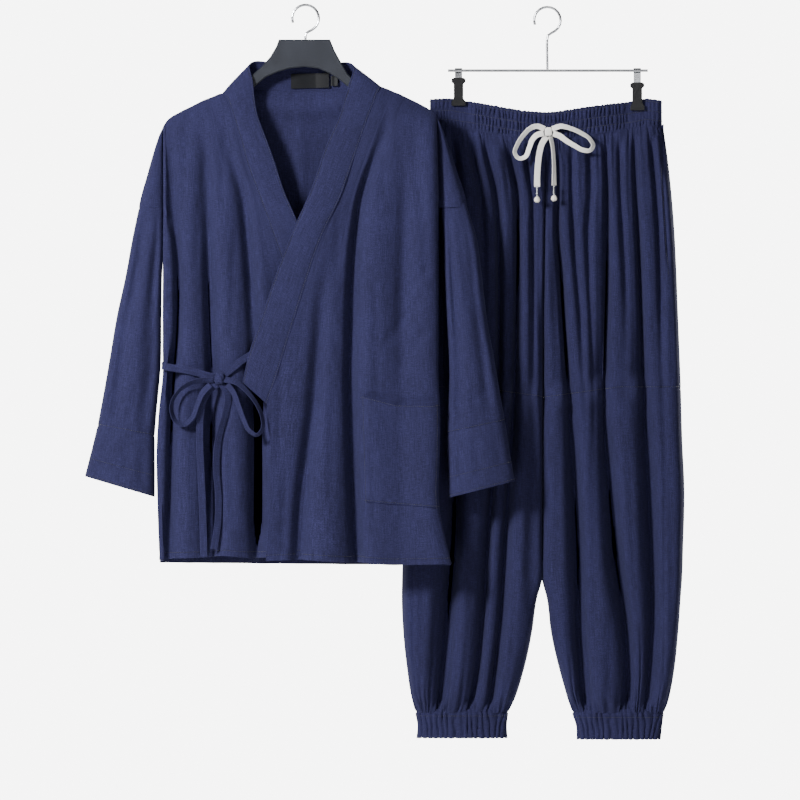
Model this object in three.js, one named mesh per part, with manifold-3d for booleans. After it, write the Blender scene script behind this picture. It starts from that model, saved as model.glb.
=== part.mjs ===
// A wrap-front jacket on its hanger and a pair of gathered trousers on their clip hanger, hung side by side.
// Millimetres. X is the viewer's right, -Y faces the viewer and +Z is up.
// The origin is the inside top of the jacket hanger's hook, where a peg or rail carries it.
import * as THREE from "three";
import { mergeVertices } from "three/addons/utils/BufferGeometryUtils.js";
import Module from "manifold-3d";

const wasm = await Module();
wasm.setup();

// Driving dimensions
const clothWall = 1.4;
const bandWall = 2.4;
const bandCrown = 1.2;
const seamGap = 0.3;
const frontDepth = 25;
const backDepth = 22;
const shoulderRound = 24;
const hemFlare = 5;
const backFlare = 3;
const wrapStep = 6;
const coverTuck = 12;
const coverRun = 30;
const backHemDrop = 4;
const neckSeamDrop = 2.4;
const backNeckDepth = 23;
const sideSeamTuck = 5;
const labelWall = 1;
const labelStandOff = 1.5;
const tabStandOff = 0.7;
const trousersPlane = 64;
const legRound = 18;
const waistbandHeight = 43;
const waistWaves = 36;
const ankleWaves = 28;
const ankleWave = 1.2;
const hookWire = 4;
const hookRadius = 20;
const hangerThickness = 8;
const hangerClearance = 4;
const clipHangerX = 364;
const barHeight = -94;
const tieWidth = 11;
const tieThickness = 1.6;
const drawstringWidth = 9;
const drawstringThickness = 2.2;

// Colours of the finishes
const navyCloth = new THREE.MeshStandardMaterial({ color: 0x363d66, roughness: 0.9, metalness: 0 });
const navyTrousers = new THREE.MeshStandardMaterial({ color: 0x2e3058, roughness: 0.9, metalness: 0 });
const creamCord = new THREE.MeshStandardMaterial({ color: 0xe6e1d7, roughness: 0.85, metalness: 0 });
const charcoalPlastic = new THREE.MeshStandardMaterial({ color: 0x2e313c, roughness: 0.5, metalness: 0 });
const blackPlastic = new THREE.MeshStandardMaterial({ color: 0x18181c, roughness: 0.55, metalness: 0 });
const steel = new THREE.MeshStandardMaterial({ color: 0xb9bbc0, roughness: 0.3, metalness: 1 });
const labelCloth = new THREE.MeshStandardMaterial({ color: 0x1a1b20, roughness: 0.7, metalness: 0 });

// Straight-line reading of a table whose rows run down the garment
function read(table, column, z) {
  if (z >= table[0].z) return table[0][column];
  for (let row = 1; row < table.length; row += 1) {
    const above = table[row - 1];
    const below = table[row];
    if (z >= below.z) {
      const share = (above.z - z) / (above.z - below.z);
      return above[column] + (below[column] - above[column]) * share;
    }
  }
  return table[table.length - 1][column];
}

// The same for a table whose rows run across, from the viewer's left
function readAcross(table, column, x) {
  if (x <= table[0].x) return table[0][column];
  for (let row = 1; row < table.length; row += 1) {
    const left = table[row - 1];
    const right = table[row];
    if (x <= right.x) {
      return left[column] + ((right[column] - left[column]) * (x - left.x)) / (right.x - left.x);
    }
  }
  return table[table.length - 1][column];
}

const mix = (a, b, share) => a + (b - a) * share;
const clamp = (value, low, high) => Math.min(Math.max(value, low), high);
const eased = (share) => share * share * (3 - 2 * share);
const point = (x, y, z) => new THREE.Vector3(x, y, z);

// A closed wall of cloth. points[i][j] are its outer points, column by column, and each has an inner point
// one wall thickness behind it; flip puts that on the other side. There is cloth between columns i and i + 1
// where cell(i, j) is true, and a wrapped wall joins its last column to its first. square(i, j) names the axes
// that the thickness leaves alone, so that walls meet squarely at a seam, and stop holds an inner point back.
function clothGeometry(points, wall, options = {}) {
  const { wrap = false, cell = () => true, flip = false, square = () => "", stop = (p) => p } = options;
  const columns = points.length;
  const rows = points[0].length;
  const spans = wrap ? columns : columns - 1;
  const inner = points.map((column, i) =>
    column.map((here, j) => {
      const left = wrap ? (i + columns - 1) % columns : Math.max(i - 1, 0);
      const right = wrap ? (i + 1) % columns : Math.min(i + 1, columns - 1);
      const across = points[right][j].clone().sub(points[left][j]);
      const down = points[i][Math.min(j + 1, rows - 1)].clone().sub(points[i][Math.max(j - 1, 0)]);
      const normal = across.cross(down);
      for (const axis of square(i, j)) normal[axis] = 0;
      normal.normalize().multiplyScalar(flip ? wall : -wall);
      return stop(here.clone().add(normal));
    }),
  );
  const positions = [];
  const triangle = (a, b, c) => positions.push(...a.toArray(), ...b.toArray(), ...c.toArray());
  const quad = (a, b, c, d) => {
    triangle(a, b, c);
    triangle(a, c, d);
  };
  const exists = (i, j) => {
    const column = wrap ? (i + spans) % spans : i;
    return column >= 0 && column < spans && j >= 0 && j < rows - 1 && cell(column, j);
  };
  for (let i = 0; i < spans; i += 1) {
    const k = (i + 1) % columns;
    for (let j = 0; j < rows - 1; j += 1) {
      if (!exists(i, j)) continue;
      const [a, b, c, d] = [points[i][j], points[k][j], points[k][j + 1], points[i][j + 1]];
      const [p, q, r, s] = [inner[i][j], inner[k][j], inner[k][j + 1], inner[i][j + 1]];
      quad(a, b, c, d);
      triangle(p, r, q);
      triangle(p, s, r);
      if (!exists(i - 1, j)) quad(a, d, s, p);
      if (!exists(i + 1, j)) quad(b, q, r, c);
      if (!exists(i, j - 1)) quad(a, p, q, b);
      if (!exists(i, j + 1)) quad(d, c, r, s);
    }
  }
  return closedGeometry(positions);
}

// Merges the corners of loose triangles and turns the faces outwards
function closedGeometry(positions) {
  let volume = 0;
  for (let k = 0; k < positions.length; k += 9) {
    const [ax, ay, az, bx, by, bz, cx, cy, cz] = positions.slice(k, k + 9);
    volume += ax * (by * cz - bz * cy) - ay * (bx * cz - bz * cx) + az * (bx * cy - by * cx);
  }
  if (volume < 0) {
    for (let k = 0; k < positions.length; k += 9) {
      for (let axis = 0; axis < 3; axis += 1) {
        const kept = positions[k + 3 + axis];
        positions[k + 3 + axis] = positions[k + 6 + axis];
        positions[k + 6 + axis] = kept;
      }
    }
  }
  const geometry = new THREE.BufferGeometry();
  geometry.setAttribute("position", new THREE.Float32BufferAttribute(positions, 3));
  return mergeVertices(geometry, 1e-4);
}

const garments = new THREE.Group();
const jacket = new THREE.Group();
const trousers = new THREE.Group();
garments.add(jacket, trousers);

function addPiece(group, name, geometry, material) {
  const mesh = new THREE.Mesh(geometry, material);
  mesh.name = name;
  group.add(mesh);
  return mesh;
}

// Jacket: the lines that its panels share

// Top of the shoulders, across
const shoulderLine = [
  { x: -217, z: -188 },
  { x: -213.5, z: -181 },
  { x: -208, z: -172 },
  { x: -197, z: -163 },
  { x: -173, z: -151 },
  { x: -155, z: -142 },
  { x: -124, z: -130 },
  { x: -80, z: -133 },
  { x: -28, z: -135 },
  { x: 22, z: -135 },
  { x: 70, z: -131 },
  { x: 112, z: -120 },
  { x: 142, z: -132 },
  { x: 164, z: -143 },
  { x: 187, z: -154 },
  { x: 196, z: -164 },
  { x: 199, z: -170 },
];

// Where the shoulder seam meets the body's outer folds, where each drop shoulder ends above the arm, and the
// two ends of the neck opening
const shoulderPoint = { left: -213.5, right: 196 };
const shoulderTip = { left: { x: -217, z: -188 }, right: { x: 199, z: -170 } };
const neckPoint = { left: -124, right: 112 };

// The body's outer folds, down
const bodyEdges = [
  { z: -196, left: -213, right: 196 },
  { z: -553, left: -213, right: 197 },
  { z: -600, left: -218, right: 200 },
  { z: -665, left: -222, right: 200 },
  { z: -748, left: -221, right: 199 },
  { z: -790, left: -218, right: 208 },
  { z: -835, left: -217.5, right: 217 },
];

// The collar band: its neck edge (in) and its seam edge (out), from the over front's end round the neck.
// layer 0 lies on the over front and 1 on the under front; rows of layer 2 stand round the neck at their own y.
const bandStations = [
  { inX: -94, inZ: -564, outX: -57, outZ: -597, layer: 0 },
  { inX: -84, inZ: -520, outX: -43, outZ: -556, layer: 0 },
  { inX: -70, inZ: -480, outX: -28, outZ: -508, layer: 0 },
  { inX: -47, inZ: -411, outX: -8, outZ: -444, layer: 0 },
  { inX: -13, inZ: -324, outX: 26, outZ: -343, layer: 0 },
  { inX: 8, inZ: -277, outX: 52, outZ: -288, layer: 0 },
  { inX: 31, inZ: -210, outX: 76, outZ: -220, layer: 0 },
  { inX: 52, inZ: -162, outX: 96, outZ: -163, layer: 0 },
  { inX: 58, inZ: -141, outX: 102, outZ: -148, layer: 0 },
  { inX: 65, inZ: -118, outX: 107, outZ: -133, layer: 0 },
  { inX: 71, inZ: -88, outX: 112, outZ: -120, layer: 0 },
  { inX: 65, inZ: -84, outX: 101, outZ: -123, inY: 9, outY: 9, layer: 2 },
  { inX: 45, inZ: -84, outX: 70, outZ: -131, inY: 17, outY: 18, layer: 2 },
  { inX: 15, inZ: -84, outX: 22, outZ: -135, inY: 21, outY: 23, layer: 2 },
  { inX: -22, inZ: -84, outX: -28, outZ: -135, inY: 21, outY: 23, layer: 2 },
  { inX: -54, inZ: -83, outX: -80, outZ: -133, inY: 16, outY: 18, layer: 2 },
  { inX: -76, inZ: -82, outX: -113, outZ: -130, inY: 9, outY: 9, layer: 2 },
  { inX: -83, inZ: -86, outX: -124, outZ: -130, layer: 1 },
  { inX: -79, inZ: -112, outX: -117, outZ: -141, layer: 1 },
  { inX: -72, inZ: -162, outX: -107, outZ: -168, layer: 1 },
  { inX: -59, inZ: -198, outX: -97, outZ: -201, layer: 1 },
  { inX: -49, inZ: -225, outX: -88, outZ: -235, layer: 1 },
  { inX: -32, inZ: -277, outX: -70, outZ: -283, layer: 1 },
  { inX: -13, inZ: -321, outX: -53, outZ: -330, layer: 1 },
  { inX: 20, inZ: -411, outX: -17, outZ: -444, layer: 1 },
  { inX: 36, inZ: -480, outX: -4, outZ: -508, layer: 1 },
  { inX: 42, inZ: -520, outX: 3, outZ: -556, layer: 1 },
  { inX: 48, inZ: -564, outX: 12, outZ: -597, layer: 1 },
];

// Below the band each front has a plain edge down to its hem
const overFrontEdge = [
  { x: -55, z: -660 },
  { x: -57, z: -745 },
  { x: -64, z: -832 },
];
const underFrontEdge = [
  { x: 14, z: -660 },
  { x: 16, z: -745 },
  { x: 20, z: -826 },
];

// Heights of the panel rows at the outer folds; the wings beyond the hanger end at row armRow
const armRow = 5;
const armHeight = -302;
const bodyRowHeights = [armHeight, -352, -440, -505, -553, -600, -665, -748];
const leftRowHeights = [-181, -186, -197, -217, -247, ...bodyRowHeights, -831];
const rightRowHeights = [-164, -169, -180, -200, -236, ...bodyRowHeights, -835];

// How far the cloth stands forward of the hanger's plane at a drop below the shoulder
function hangDepth(drop, depth, flare) {
  const hemDrop = 650;
  return depth * (1 - Math.exp(-drop / shoulderRound)) + (flare * drop) / hemDrop;
}

const overEdge = bandStations
  .filter((station) => station.layer === 0)
  .reverse()
  .map((station) => ({ x: station.inX, z: station.inZ }))
  .concat(overFrontEdge);

// The over front is layer 0. The under front, layer 1, lies behind it and deeper still where it is covered.
function frontY(drop, layer, x, z) {
  const y = -hangDepth(drop, frontDepth, hemFlare);
  if (layer === 0) return y;
  const covered = clamp((x - read(overEdge, "x", z)) / coverRun, 0, 1);
  return y + wrapStep * (1 - Math.exp(-drop / shoulderRound)) + coverTuck * eased(covered);
}

// Soft vertical folds: a half width for all of the fold, and rows of height z, middle x and depth
const underFrontFolds = [
  {
    half: 11,
    rows: [
      { z: -200, x: -203, depth: 2 },
      { z: -300, x: -198, depth: 9 },
      { z: -381, x: -190, depth: 16 },
      { z: -471, x: -191, depth: 17 },
      { z: -600, x: -200, depth: 18 },
      { z: -748, x: -204, depth: 17 },
      { z: -831, x: -203, depth: 10 },
    ],
  },
  {
    half: 13,
    rows: [
      { z: -160, x: -160, depth: 0 },
      { z: -230, x: -148, depth: 5 },
      { z: -381, x: -145, depth: 16 },
      { z: -471, x: -143, depth: 17 },
      { z: -561, x: -139, depth: 17 },
      { z: -700, x: -143, depth: 16 },
      { z: -831, x: -142, depth: 13 },
    ],
  },
  {
    half: 13,
    rows: [
      { z: -160, x: -128, depth: 0 },
      { z: -235, x: -110, depth: 4 },
      { z: -300, x: -92, depth: 12 },
      { z: -381, x: -84, depth: 15 },
      { z: -561, x: -73, depth: 9 },
      { z: -640, x: -72, depth: 14 },
      { z: -740, x: -72, depth: 17 },
      { z: -831, x: -73, depth: 15 },
    ],
  },
];
const overFrontFolds = [
  {
    half: 15,
    rows: [
      { z: -343, x: 46, depth: 0 },
      { z: -444, x: 24, depth: 6 },
      { z: -508, x: 20, depth: 12 },
      { z: -600, x: 13, depth: 14 },
      { z: -741, x: -5, depth: 14 },
      { z: -832, x: -10, depth: 13 },
    ],
  },
  {
    half: 14,
    rows: [
      { z: -170, x: 120, depth: 0 },
      { z: -220, x: 98, depth: 5 },
      { z: -300, x: 80, depth: 15 },
      { z: -380, x: 71, depth: 20 },
      { z: -561, x: 67, depth: 20 },
      { z: -700, x: 71, depth: 22 },
      { z: -832, x: 77, depth: 20 },
    ],
  },
  {
    half: 16,
    rows: [
      { z: -180, x: 148, depth: 0 },
      { z: -300, x: 150, depth: 6 },
      { z: -440, x: 146, depth: 9 },
      { z: -570, x: 144, depth: 3 },
      { z: -835, x: 146, depth: 2 },
    ],
  },
];
const jacketBackFolds = [
  [-186, 15, 12],
  [-128, 16, 14],
  [-62, 15, 15],
  [4, 14, 15],
  [66, 16, 15],
  [124, 16, 14],
  [172, 14, 12],
].map(([x, depth, half], index) => ({
  half,
  rows: [
    { z: -190, x: x * 0.93, depth: 1 },
    { z: -320, x: x * 0.98, depth: depth * 0.55 },
    { z: -560, x: x + (index % 2 ? 4 : -4), depth },
    { z: -833, x: x + (index % 2 ? -3 : 5), depth: depth * 0.9 },
  ],
}));

// Columns across one row: the two ends and, for each fold, its left rim, its trough and its right rim
function foldColumns(folds, z, left, right) {
  const troughs = folds.map((fold) => ({
    x: read(fold.rows, "x", z),
    depth: read(fold.rows, "depth", z),
    fold,
  }));
  const margin = 7;
  troughs.forEach((trough, index) => {
    const least = left + margin + index * 3 * margin;
    const most = right - margin - (troughs.length - 1 - index) * 3 * margin;
    const room = (right - left) / (3 * folds.length + 1);
    const low = left + Math.min(least - left, room * (3 * index + 1.5));
    const high = right - Math.min(right - most, room * (3 * (folds.length - 1 - index) + 1.5));
    trough.x = clamp(trough.x, low, high);
  });
  const columns = [];
  troughs.forEach((trough, index) => {
    const before = index === 0 ? trough.x - left : (trough.x - troughs[index - 1].x) / 2;
    const after = index === troughs.length - 1 ? right - trough.x : (troughs[index + 1].x - trough.x) / 2;
    columns.push({ x: trough.x - Math.min(trough.fold.half, before * 0.8), dip: 0 });
    columns.push({ x: trough.x, dip: trough.depth });
    columns.push({ x: trough.x + Math.min(trough.fold.half, after * 0.8), dip: 0 });
  });
  return columns;
}

// Where each drop shoulder ends: its ridge, its valley beside the body and its half depth
const leftWingEnd = { inX: -250, outX: -207, half: 13 };
const rightWingEnd = { inX: 243, outX: 200, half: 13 };

// Rings of a sleeve: its outer and inner edge and its half depth. Row 0 is sewn to the drop shoulder.
const leftSleeveRings = [
  { outX: -250, outZ: -302, inX: -213, inZ: -302, half: 12.5 },
  { outX: -259, outZ: -345, inX: -213, inZ: -347, half: 19 },
  { outX: -270, outZ: -405, inX: -215, inZ: -410, half: 23 },
  { outX: -283, outZ: -465, inX: -216, inZ: -472, half: 25 },
  { outX: -294, outZ: -530, inX: -217, inZ: -540, half: 26 },
  { outX: -305, outZ: -592, inX: -223, inZ: -606, half: 26 },
  { outX: -312, outZ: -629, inX: -226, inZ: -645, half: 26 },
];
const leftCuffRings = [
  { outX: -312, outZ: -629, inX: -226, inZ: -645, half: 26 },
  { outX: -321, outZ: -666, inX: -226, inZ: -690, half: 26 },
  { outX: -331, outZ: -705, inX: -226, inZ: -736, half: 25 },
];
const rightSleeveRings = [
  { outX: 243, outZ: -302, inX: 204, inZ: -302, half: 12.5 },
  { outX: 256, outZ: -345, inX: 207, inZ: -347, half: 19 },
  { outX: 264, outZ: -400, inX: 209, inZ: -404, half: 23 },
  { outX: 272, outZ: -468, inX: 212, inZ: -474, half: 25 },
  { outX: 284, outZ: -535, inX: 215, inZ: -543, half: 26 },
  { outX: 293, outZ: -588, inX: 214, inZ: -600, half: 26 },
  { outX: 299, outZ: -622, inX: 212, inZ: -641, half: 26 },
];
const rightCuffRings = [
  { outX: 299, outZ: -622, inX: 212, inZ: -641, half: 26 },
  { outX: 306, outZ: -667, inX: 214, inZ: -689, half: 26 },
  { outX: 314, outZ: -712, inX: 215, inZ: -737, half: 25 },
];

// The drop shoulder beyond the hanger: fan columns from the shoulder's end to the arm seam
function wingColumn(top, ring, angle, side, rowHeights) {
  const middleX = (ring.outX + ring.inX) / 2;
  const halfX = (ring.outX - ring.inX) / 2;
  const endX = middleX + halfX * Math.cos(angle);
  const endY = side * ring.half * Math.sin(angle);
  const topHeight = rowHeights[0];
  return rowHeights.map((height, j) => {
    if (j > armRow) return point(endX, endY, height);
    const share = (topHeight - height) / (topHeight - armHeight);
    const bulge = Math.min(1, 1.1 * Math.sqrt(share));
    const z = mix(top.z, armHeight, share);
    return point(mix(top.x, endX, share ** 0.85), side * seamGap * 0.5 + endY * bulge, z);
  });
}

// From the wing's ridge, a quarter of the way round at a time, to the valley beside the body
const fanAngles = [Math.PI, (Math.PI * 2) / 3, Math.PI / 3, 0];
const wingSpans = fanAngles.length - 1;

// One front. side is -1 at the viewer's left and 1 at the right.
function frontPanel(side, layer, folds, seamPoints, rowHeights, wingEnd, hem) {
  const edgeName = side < 0 ? "left" : "right";
  const edgeTop = rowHeights[0];
  const seamTop = seamPoints[0].z;
  const shoulderX = shoulderPoint[edgeName];
  const seamShoulderX = seamPoints[0].x;
  const rows = rowHeights.length;
  const mainCount = folds.length * 3 + 4;
  const main = Array.from({ length: mainCount }, () => []);
  for (let j = 0; j < rows; j += 1) {
    const seam = seamPoints[j];
    const edgeX = j === 0 ? shoulderX : read(bodyEdges, edgeName, rowHeights[j]);
    const middle = (rowHeights[j] + seam.z) / 2;
    const low = Math.min(edgeX, seam.x);
    const high = Math.max(edgeX, seam.x);
    const xs = foldColumns(folds, middle, low, high);
    if (side > 0) xs.reverse();
    const nearEdge = { x: edgeX - side * Math.min(6, Math.abs(seam.x - edgeX) * 0.03), dip: 0 };
    const lastRim = xs[xs.length - 1].x;
    const nearSeam = { x: mix(lastRim, seam.x, 0.5), dip: 0 };
    const across = [{ x: edgeX, dip: 0 }, nearEdge, ...xs, nearSeam, { x: seam.x, dip: 0 }];
    across.forEach((column, k) => {
      const share = clamp(Math.abs(column.x - edgeX) / Math.abs(seam.x - edgeX), 0, 1);
      const topX = mix(shoulderX, seamShoulderX, share);
      const top = readAcross(shoulderLine, "z", topX);
      const drop = mix(edgeTop - rowHeights[j], seamTop - seam.z, share);
      const last = j / (rows - 1);
      let z = top - drop;
      if (j > armRow) z = mix(rowHeights[j], seam.z, share);
      if (j === rows - 1) z = readAcross(hem, "z", column.x);
      if (k === across.length - 1) z = seam.z;
      const round = k === 0 ? 0.86 : 1;
      const hung = frontY(top - z, layer, column.x, z) * round + column.dip * Math.min(1, last * 3);
      const y = j === 0 ? -seamGap / 2 : hung;
      main[k].push(point(column.x, Math.min(y, -seamGap / 2), z));
    });
  }
  const tip = shoulderTip[edgeName];
  const fan = fanAngles.map((angle, k) => {
    const share = k / fanAngles.length;
    const wingTop = { x: mix(tip.x, shoulderX, share), z: mix(tip.z, edgeTop, share) };
    return wingColumn(wingTop, wingEnd, angle, -1, rowHeights);
  });
  const valley = fan[3];
  for (let j = armRow + 1; j < rows; j += 1) {
    valley[j].set(read(bodyEdges, edgeName, rowHeights[j]) - side * sideSeamTuck, -seamGap / 2, rowHeights[j]);
  }
  const columns = [...fan, ...main];
  columns[0].forEach((p) => p.setY(-seamGap / 2));
  valley.forEach((p) => p.setY(Math.min(p.y, -seamGap / 2)));
  return columns;
}

const wingCell = (firstWing, lastWing) => (i, j) => (i < firstWing || i >= lastWing ? j < armRow : true);

const overSeam = bandStations
  .filter((s) => s.layer === 0)
  .reverse()
  .map((s) => ({ x: s.outX + seamGap, z: s.outZ }))
  .concat(overFrontEdge);
const underSeam = bandStations
  .filter((s) => s.layer === 1)
  .map((s) => ({ x: s.outX - seamGap, z: s.outZ }))
  .concat(underFrontEdge);
const overHem = [
  { x: -64, z: -832 },
  { x: -10, z: -830 },
  { x: 44, z: -835 },
  { x: 121, z: -837 },
  { x: 217, z: -835 },
];
const underHem = [
  { x: -218, z: -831 },
  { x: -169, z: -829 },
  { x: -130, z: -823 },
  { x: -98, z: -826 },
  { x: 46, z: -826 },
];
const overColumns = frontPanel(1, 0, overFrontFolds, overSeam, rightRowHeights, rightWingEnd, overHem);
const underColumns = frontPanel(-1, 1, underFrontFolds, underSeam, leftRowHeights, leftWingEnd, underHem);
// The shoulder seam, the wing's ridge and the side seam lie in the hanger's plane
const frontSquare = (i, j) => (j === 0 || i === 0 || i === wingSpans ? "y" : "");
const frontStop = (p) => p.setY(Math.min(p.y, -seamGap / 2));
const backStop = (p) => p.setY(Math.max(p.y, seamGap / 2));
const overGeometry = clothGeometry(overColumns, clothWall, {
  stop: frontStop,
  square: frontSquare,
  cell: wingCell(wingSpans, Infinity),
});
const underGeometry = clothGeometry(underColumns, clothWall, {
  flip: true,
  stop: frontStop,
  square: frontSquare,
  cell: wingCell(wingSpans, Infinity),
});
addPiece(jacket, "jacket_front_over", overGeometry, navyCloth);
addPiece(jacket, "jacket_front_under", underGeometry, navyCloth);

// The back, with both drop shoulders. Its top follows the shoulders and dips behind the neck.
function backPanel() {
  const rows = leftRowHeights.length;
  const main = Array.from({ length: jacketBackFolds.length * 3 + 4 }, () => []);
  for (let j = 0; j < rows; j += 1) {
    const leftX = j === 0 ? shoulderPoint.left : read(bodyEdges, "left", leftRowHeights[j]);
    const rightX = j === 0 ? shoulderPoint.right : read(bodyEdges, "right", rightRowHeights[j]);
    const middle = (leftRowHeights[j] + rightRowHeights[j]) / 2;
    const folds = foldColumns(jacketBackFolds, middle, leftX, rightX);
    const left = { x: leftX, dip: 0 };
    const right = { x: rightX, dip: 0 };
    const edgeRound = 5;
    const nearLeft = { x: leftX + edgeRound, dip: 0 };
    const nearRight = { x: rightX - edgeRound, dip: 0 };
    const across = [left, nearLeft, ...folds, nearRight, right];
    across.forEach((column, k) => {
      const share = (column.x - leftX) / (rightX - leftX);
      const top = readAcross(shoulderLine, "z", mix(shoulderPoint.left, shoulderPoint.right, share));
      const leftDrop = leftRowHeights[0] - leftRowHeights[j];
      const rightDrop = rightRowHeights[0] - rightRowHeights[j];
      const drop = mix(leftDrop, rightDrop, share);
      const level = mix(leftRowHeights[j], rightRowHeights[j], share);
      const last = j / (rows - 1);
      let z = j > armRow ? level : top - drop;
      if (j === rows - 1) z = level - backHemDrop;
      const neckShare = clamp((column.x - neckPoint.left) / (neckPoint.right - neckPoint.left), 0, 1);
      if (j === 0 && neckShare > 0 && neckShare < 1) z -= neckSeamDrop;
      const round = k === 0 || k === across.length - 1 ? 0.86 : 1;
      const neckY = backNeckDepth * Math.sin(Math.PI * neckShare) ** 0.6;
      const y = hangDepth(top - z, backDepth, backFlare) * round - column.dip * Math.min(1, last * 3);
      main[k].push(point(column.x, Math.max(y, neckY * (1 - last) ** 6, seamGap / 2), z));
    });
  }
  const fan = (side, wingEnd, rowHeights) => {
    const edgeName = side < 0 ? "left" : "right";
    const tip = shoulderTip[edgeName];
    return fanAngles.map((angle, k) => {
      const share = k / fanAngles.length;
      const top = { x: mix(tip.x, shoulderPoint[edgeName], share), z: mix(tip.z, rowHeights[0], share) };
      const column = wingColumn(top, wingEnd, angle, 1, rowHeights);
      if (k === 0) column.forEach((p) => p.setY(seamGap / 2));
      if (k === 3) {
        for (let j = armRow + 1; j < rows; j += 1) {
          const edge = read(bodyEdges, edgeName, rowHeights[j]);
          column[j].set(edge - side * sideSeamTuck, seamGap / 2, rowHeights[j]);
        }
      }
      column.forEach((p) => p.setY(Math.max(p.y, seamGap / 2)));
      return column;
    });
  };
  const leftFan = fan(-1, leftWingEnd, leftRowHeights);
  const rightFan = fan(1, rightWingEnd, rightRowHeights);
  return [...leftFan, ...main, ...rightFan.reverse()];
}
const backColumns = backPanel();
const backLast = backColumns.length - 1;
const backGeometry = clothGeometry(backColumns, clothWall, {
  stop: backStop,
  square: (i, j) => (j === 0 || [0, wingSpans, backLast - wingSpans, backLast].includes(i) ? "y" : ""),
  cell: wingCell(wingSpans, backLast - wingSpans),
});
addPiece(jacket, "jacket_back", backGeometry, navyCloth);

// A ring round a flattened tube, squarer than an ellipse
function tubeRing(ring, count, relief = () => 0) {
  const middleX = (ring.outX + ring.inX) / 2;
  const halfX = (ring.outX - ring.inX) / 2;
  const squareness = 0.82;
  return Array.from({ length: count }, (_, k) => {
    const angle = (Math.PI * 2 * k) / count;
    const c = Math.cos(angle);
    const s = Math.sin(angle);
    const across = Math.sign(c) * Math.abs(c) ** squareness;
    const deep = Math.sign(s) * Math.abs(s) ** squareness;
    const z = mix(ring.inZ, ring.outZ, (across + 1) / 2);
    return point(middleX + halfX * across, -deep * (ring.half - relief(angle)), z);
  });
}

// Soft troughs that run down a sleeve: where round the ring, and how deep
const sleeveTroughs = [
  { angle: 1.15, width: 0.28, depth: 5 },
  { angle: 2.1, width: 0.25, depth: 6 },
  { angle: 4.1, width: 0.3, depth: 6 },
  { angle: 5.2, width: 0.3, depth: 5 },
];
const sleeveRelief = (strength) => (angle) => {
  const dip = ({ angle: middle, width, depth }) => depth * Math.exp(-(((angle - middle) / width) ** 2));
  return strength * sleeveTroughs.reduce((sum, trough) => sum + dip(trough), 0);
};

function tubePiece(name, rings, topGap) {
  const count = 20;
  const columns = Array.from({ length: count }, () => []);
  rings.forEach((ring, j) => {
    const strength = name.includes("cuff") ? 0.25 : Math.min(1, j / 2) * (j === rings.length - 1 ? 0.25 : 1);
    tubeRing(ring, count, sleeveRelief(strength)).forEach((p, k) => {
      if (j === 0) p.z -= topGap;
      columns[k].push(p);
    });
  });
  const leftSide = rings[0].outX < 0;
  const square = (i, j) => (j === 0 || j === rings.length - 1 ? "z" : "");
  const geometry = clothGeometry(columns, clothWall, { wrap: true, flip: leftSide, square });
  return addPiece(jacket, name, geometry, navyCloth);
}
tubePiece("sleeve_left", leftSleeveRings, seamGap);
tubePiece("sleeve_cuff_left", leftCuffRings, seamGap);
tubePiece("sleeve_right", rightSleeveRings, seamGap);
tubePiece("sleeve_cuff_right", rightCuffRings, seamGap);

// The collar band, three points across
const bandColumns = [0, 0.5, 1].map((across) =>
  bandStations.map((station) => {
    const x = mix(station.inX, station.outX, across);
    const z = mix(station.inZ, station.outZ, across);
    if (station.layer === 2) return point(x, mix(station.inY, station.outY, across), z);
    const shoulder = readAcross(shoulderLine, "z", clamp(station.outX, neckPoint.left, neckPoint.right));
    const drop = shoulder - station.outZ;
    const flat = frontY(drop, station.layer, x, z);
    const proud = bandCrown * Math.sin(Math.PI * across);
    const clear = drop > 0 ? hangerThickness / 2 + bandWall + hangerClearance : 0;
    return point(x, Math.min(flat, -clear) - proud, z);
  }),
);
addPiece(jacket, "collar_band", clothGeometry(bandColumns, bandWall), navyCloth);

// Finds where a panel's points pass x and z, as fractions of a column and a row
function locate(columns, x, z, firstColumn, lastColumn) {
  let i = (firstColumn + lastColumn) / 2;
  let j = 0;
  for (let pass = 0; pass < 12; pass += 1) {
    j = crossing(columns[0].length - 1, 0, (row) => onPanel(columns, i, row).z, z);
    i = crossing(lastColumn, firstColumn, (column) => onPanel(columns, column, j).x, x);
  }
  return { i, j };
}

// The fraction between high and low at which a steady reading passes the wanted value
function crossing(high, low, reading, wanted) {
  const rising = reading(high) > reading(low);
  let [below, above] = [low, high];
  for (let pass = 0; pass < 24; pass += 1) {
    const middle = (below + above) / 2;
    if (reading(middle) < wanted === rising) below = middle;
    else above = middle;
  }
  return (below + above) / 2;
}

function onPanel(columns, i, j) {
  const left = Math.min(Math.floor(i), columns.length - 2);
  const top = Math.min(Math.floor(j), columns[0].length - 2);
  const upper = columns[left][top].clone().lerp(columns[left + 1][top], i - left);
  const lower = columns[left][top + 1].clone().lerp(columns[left + 1][top + 1], i - left);
  return upper.lerp(lower, j - top);
}

// What lies on a panel is made from the panel's points, moved out towards the viewer
function layOn(columns, iList, jList, out) {
  return iList.map((i) => jList(i).map((j) => onPanel(columns, i, j).add(point(0, -out, 0))));
}

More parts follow.
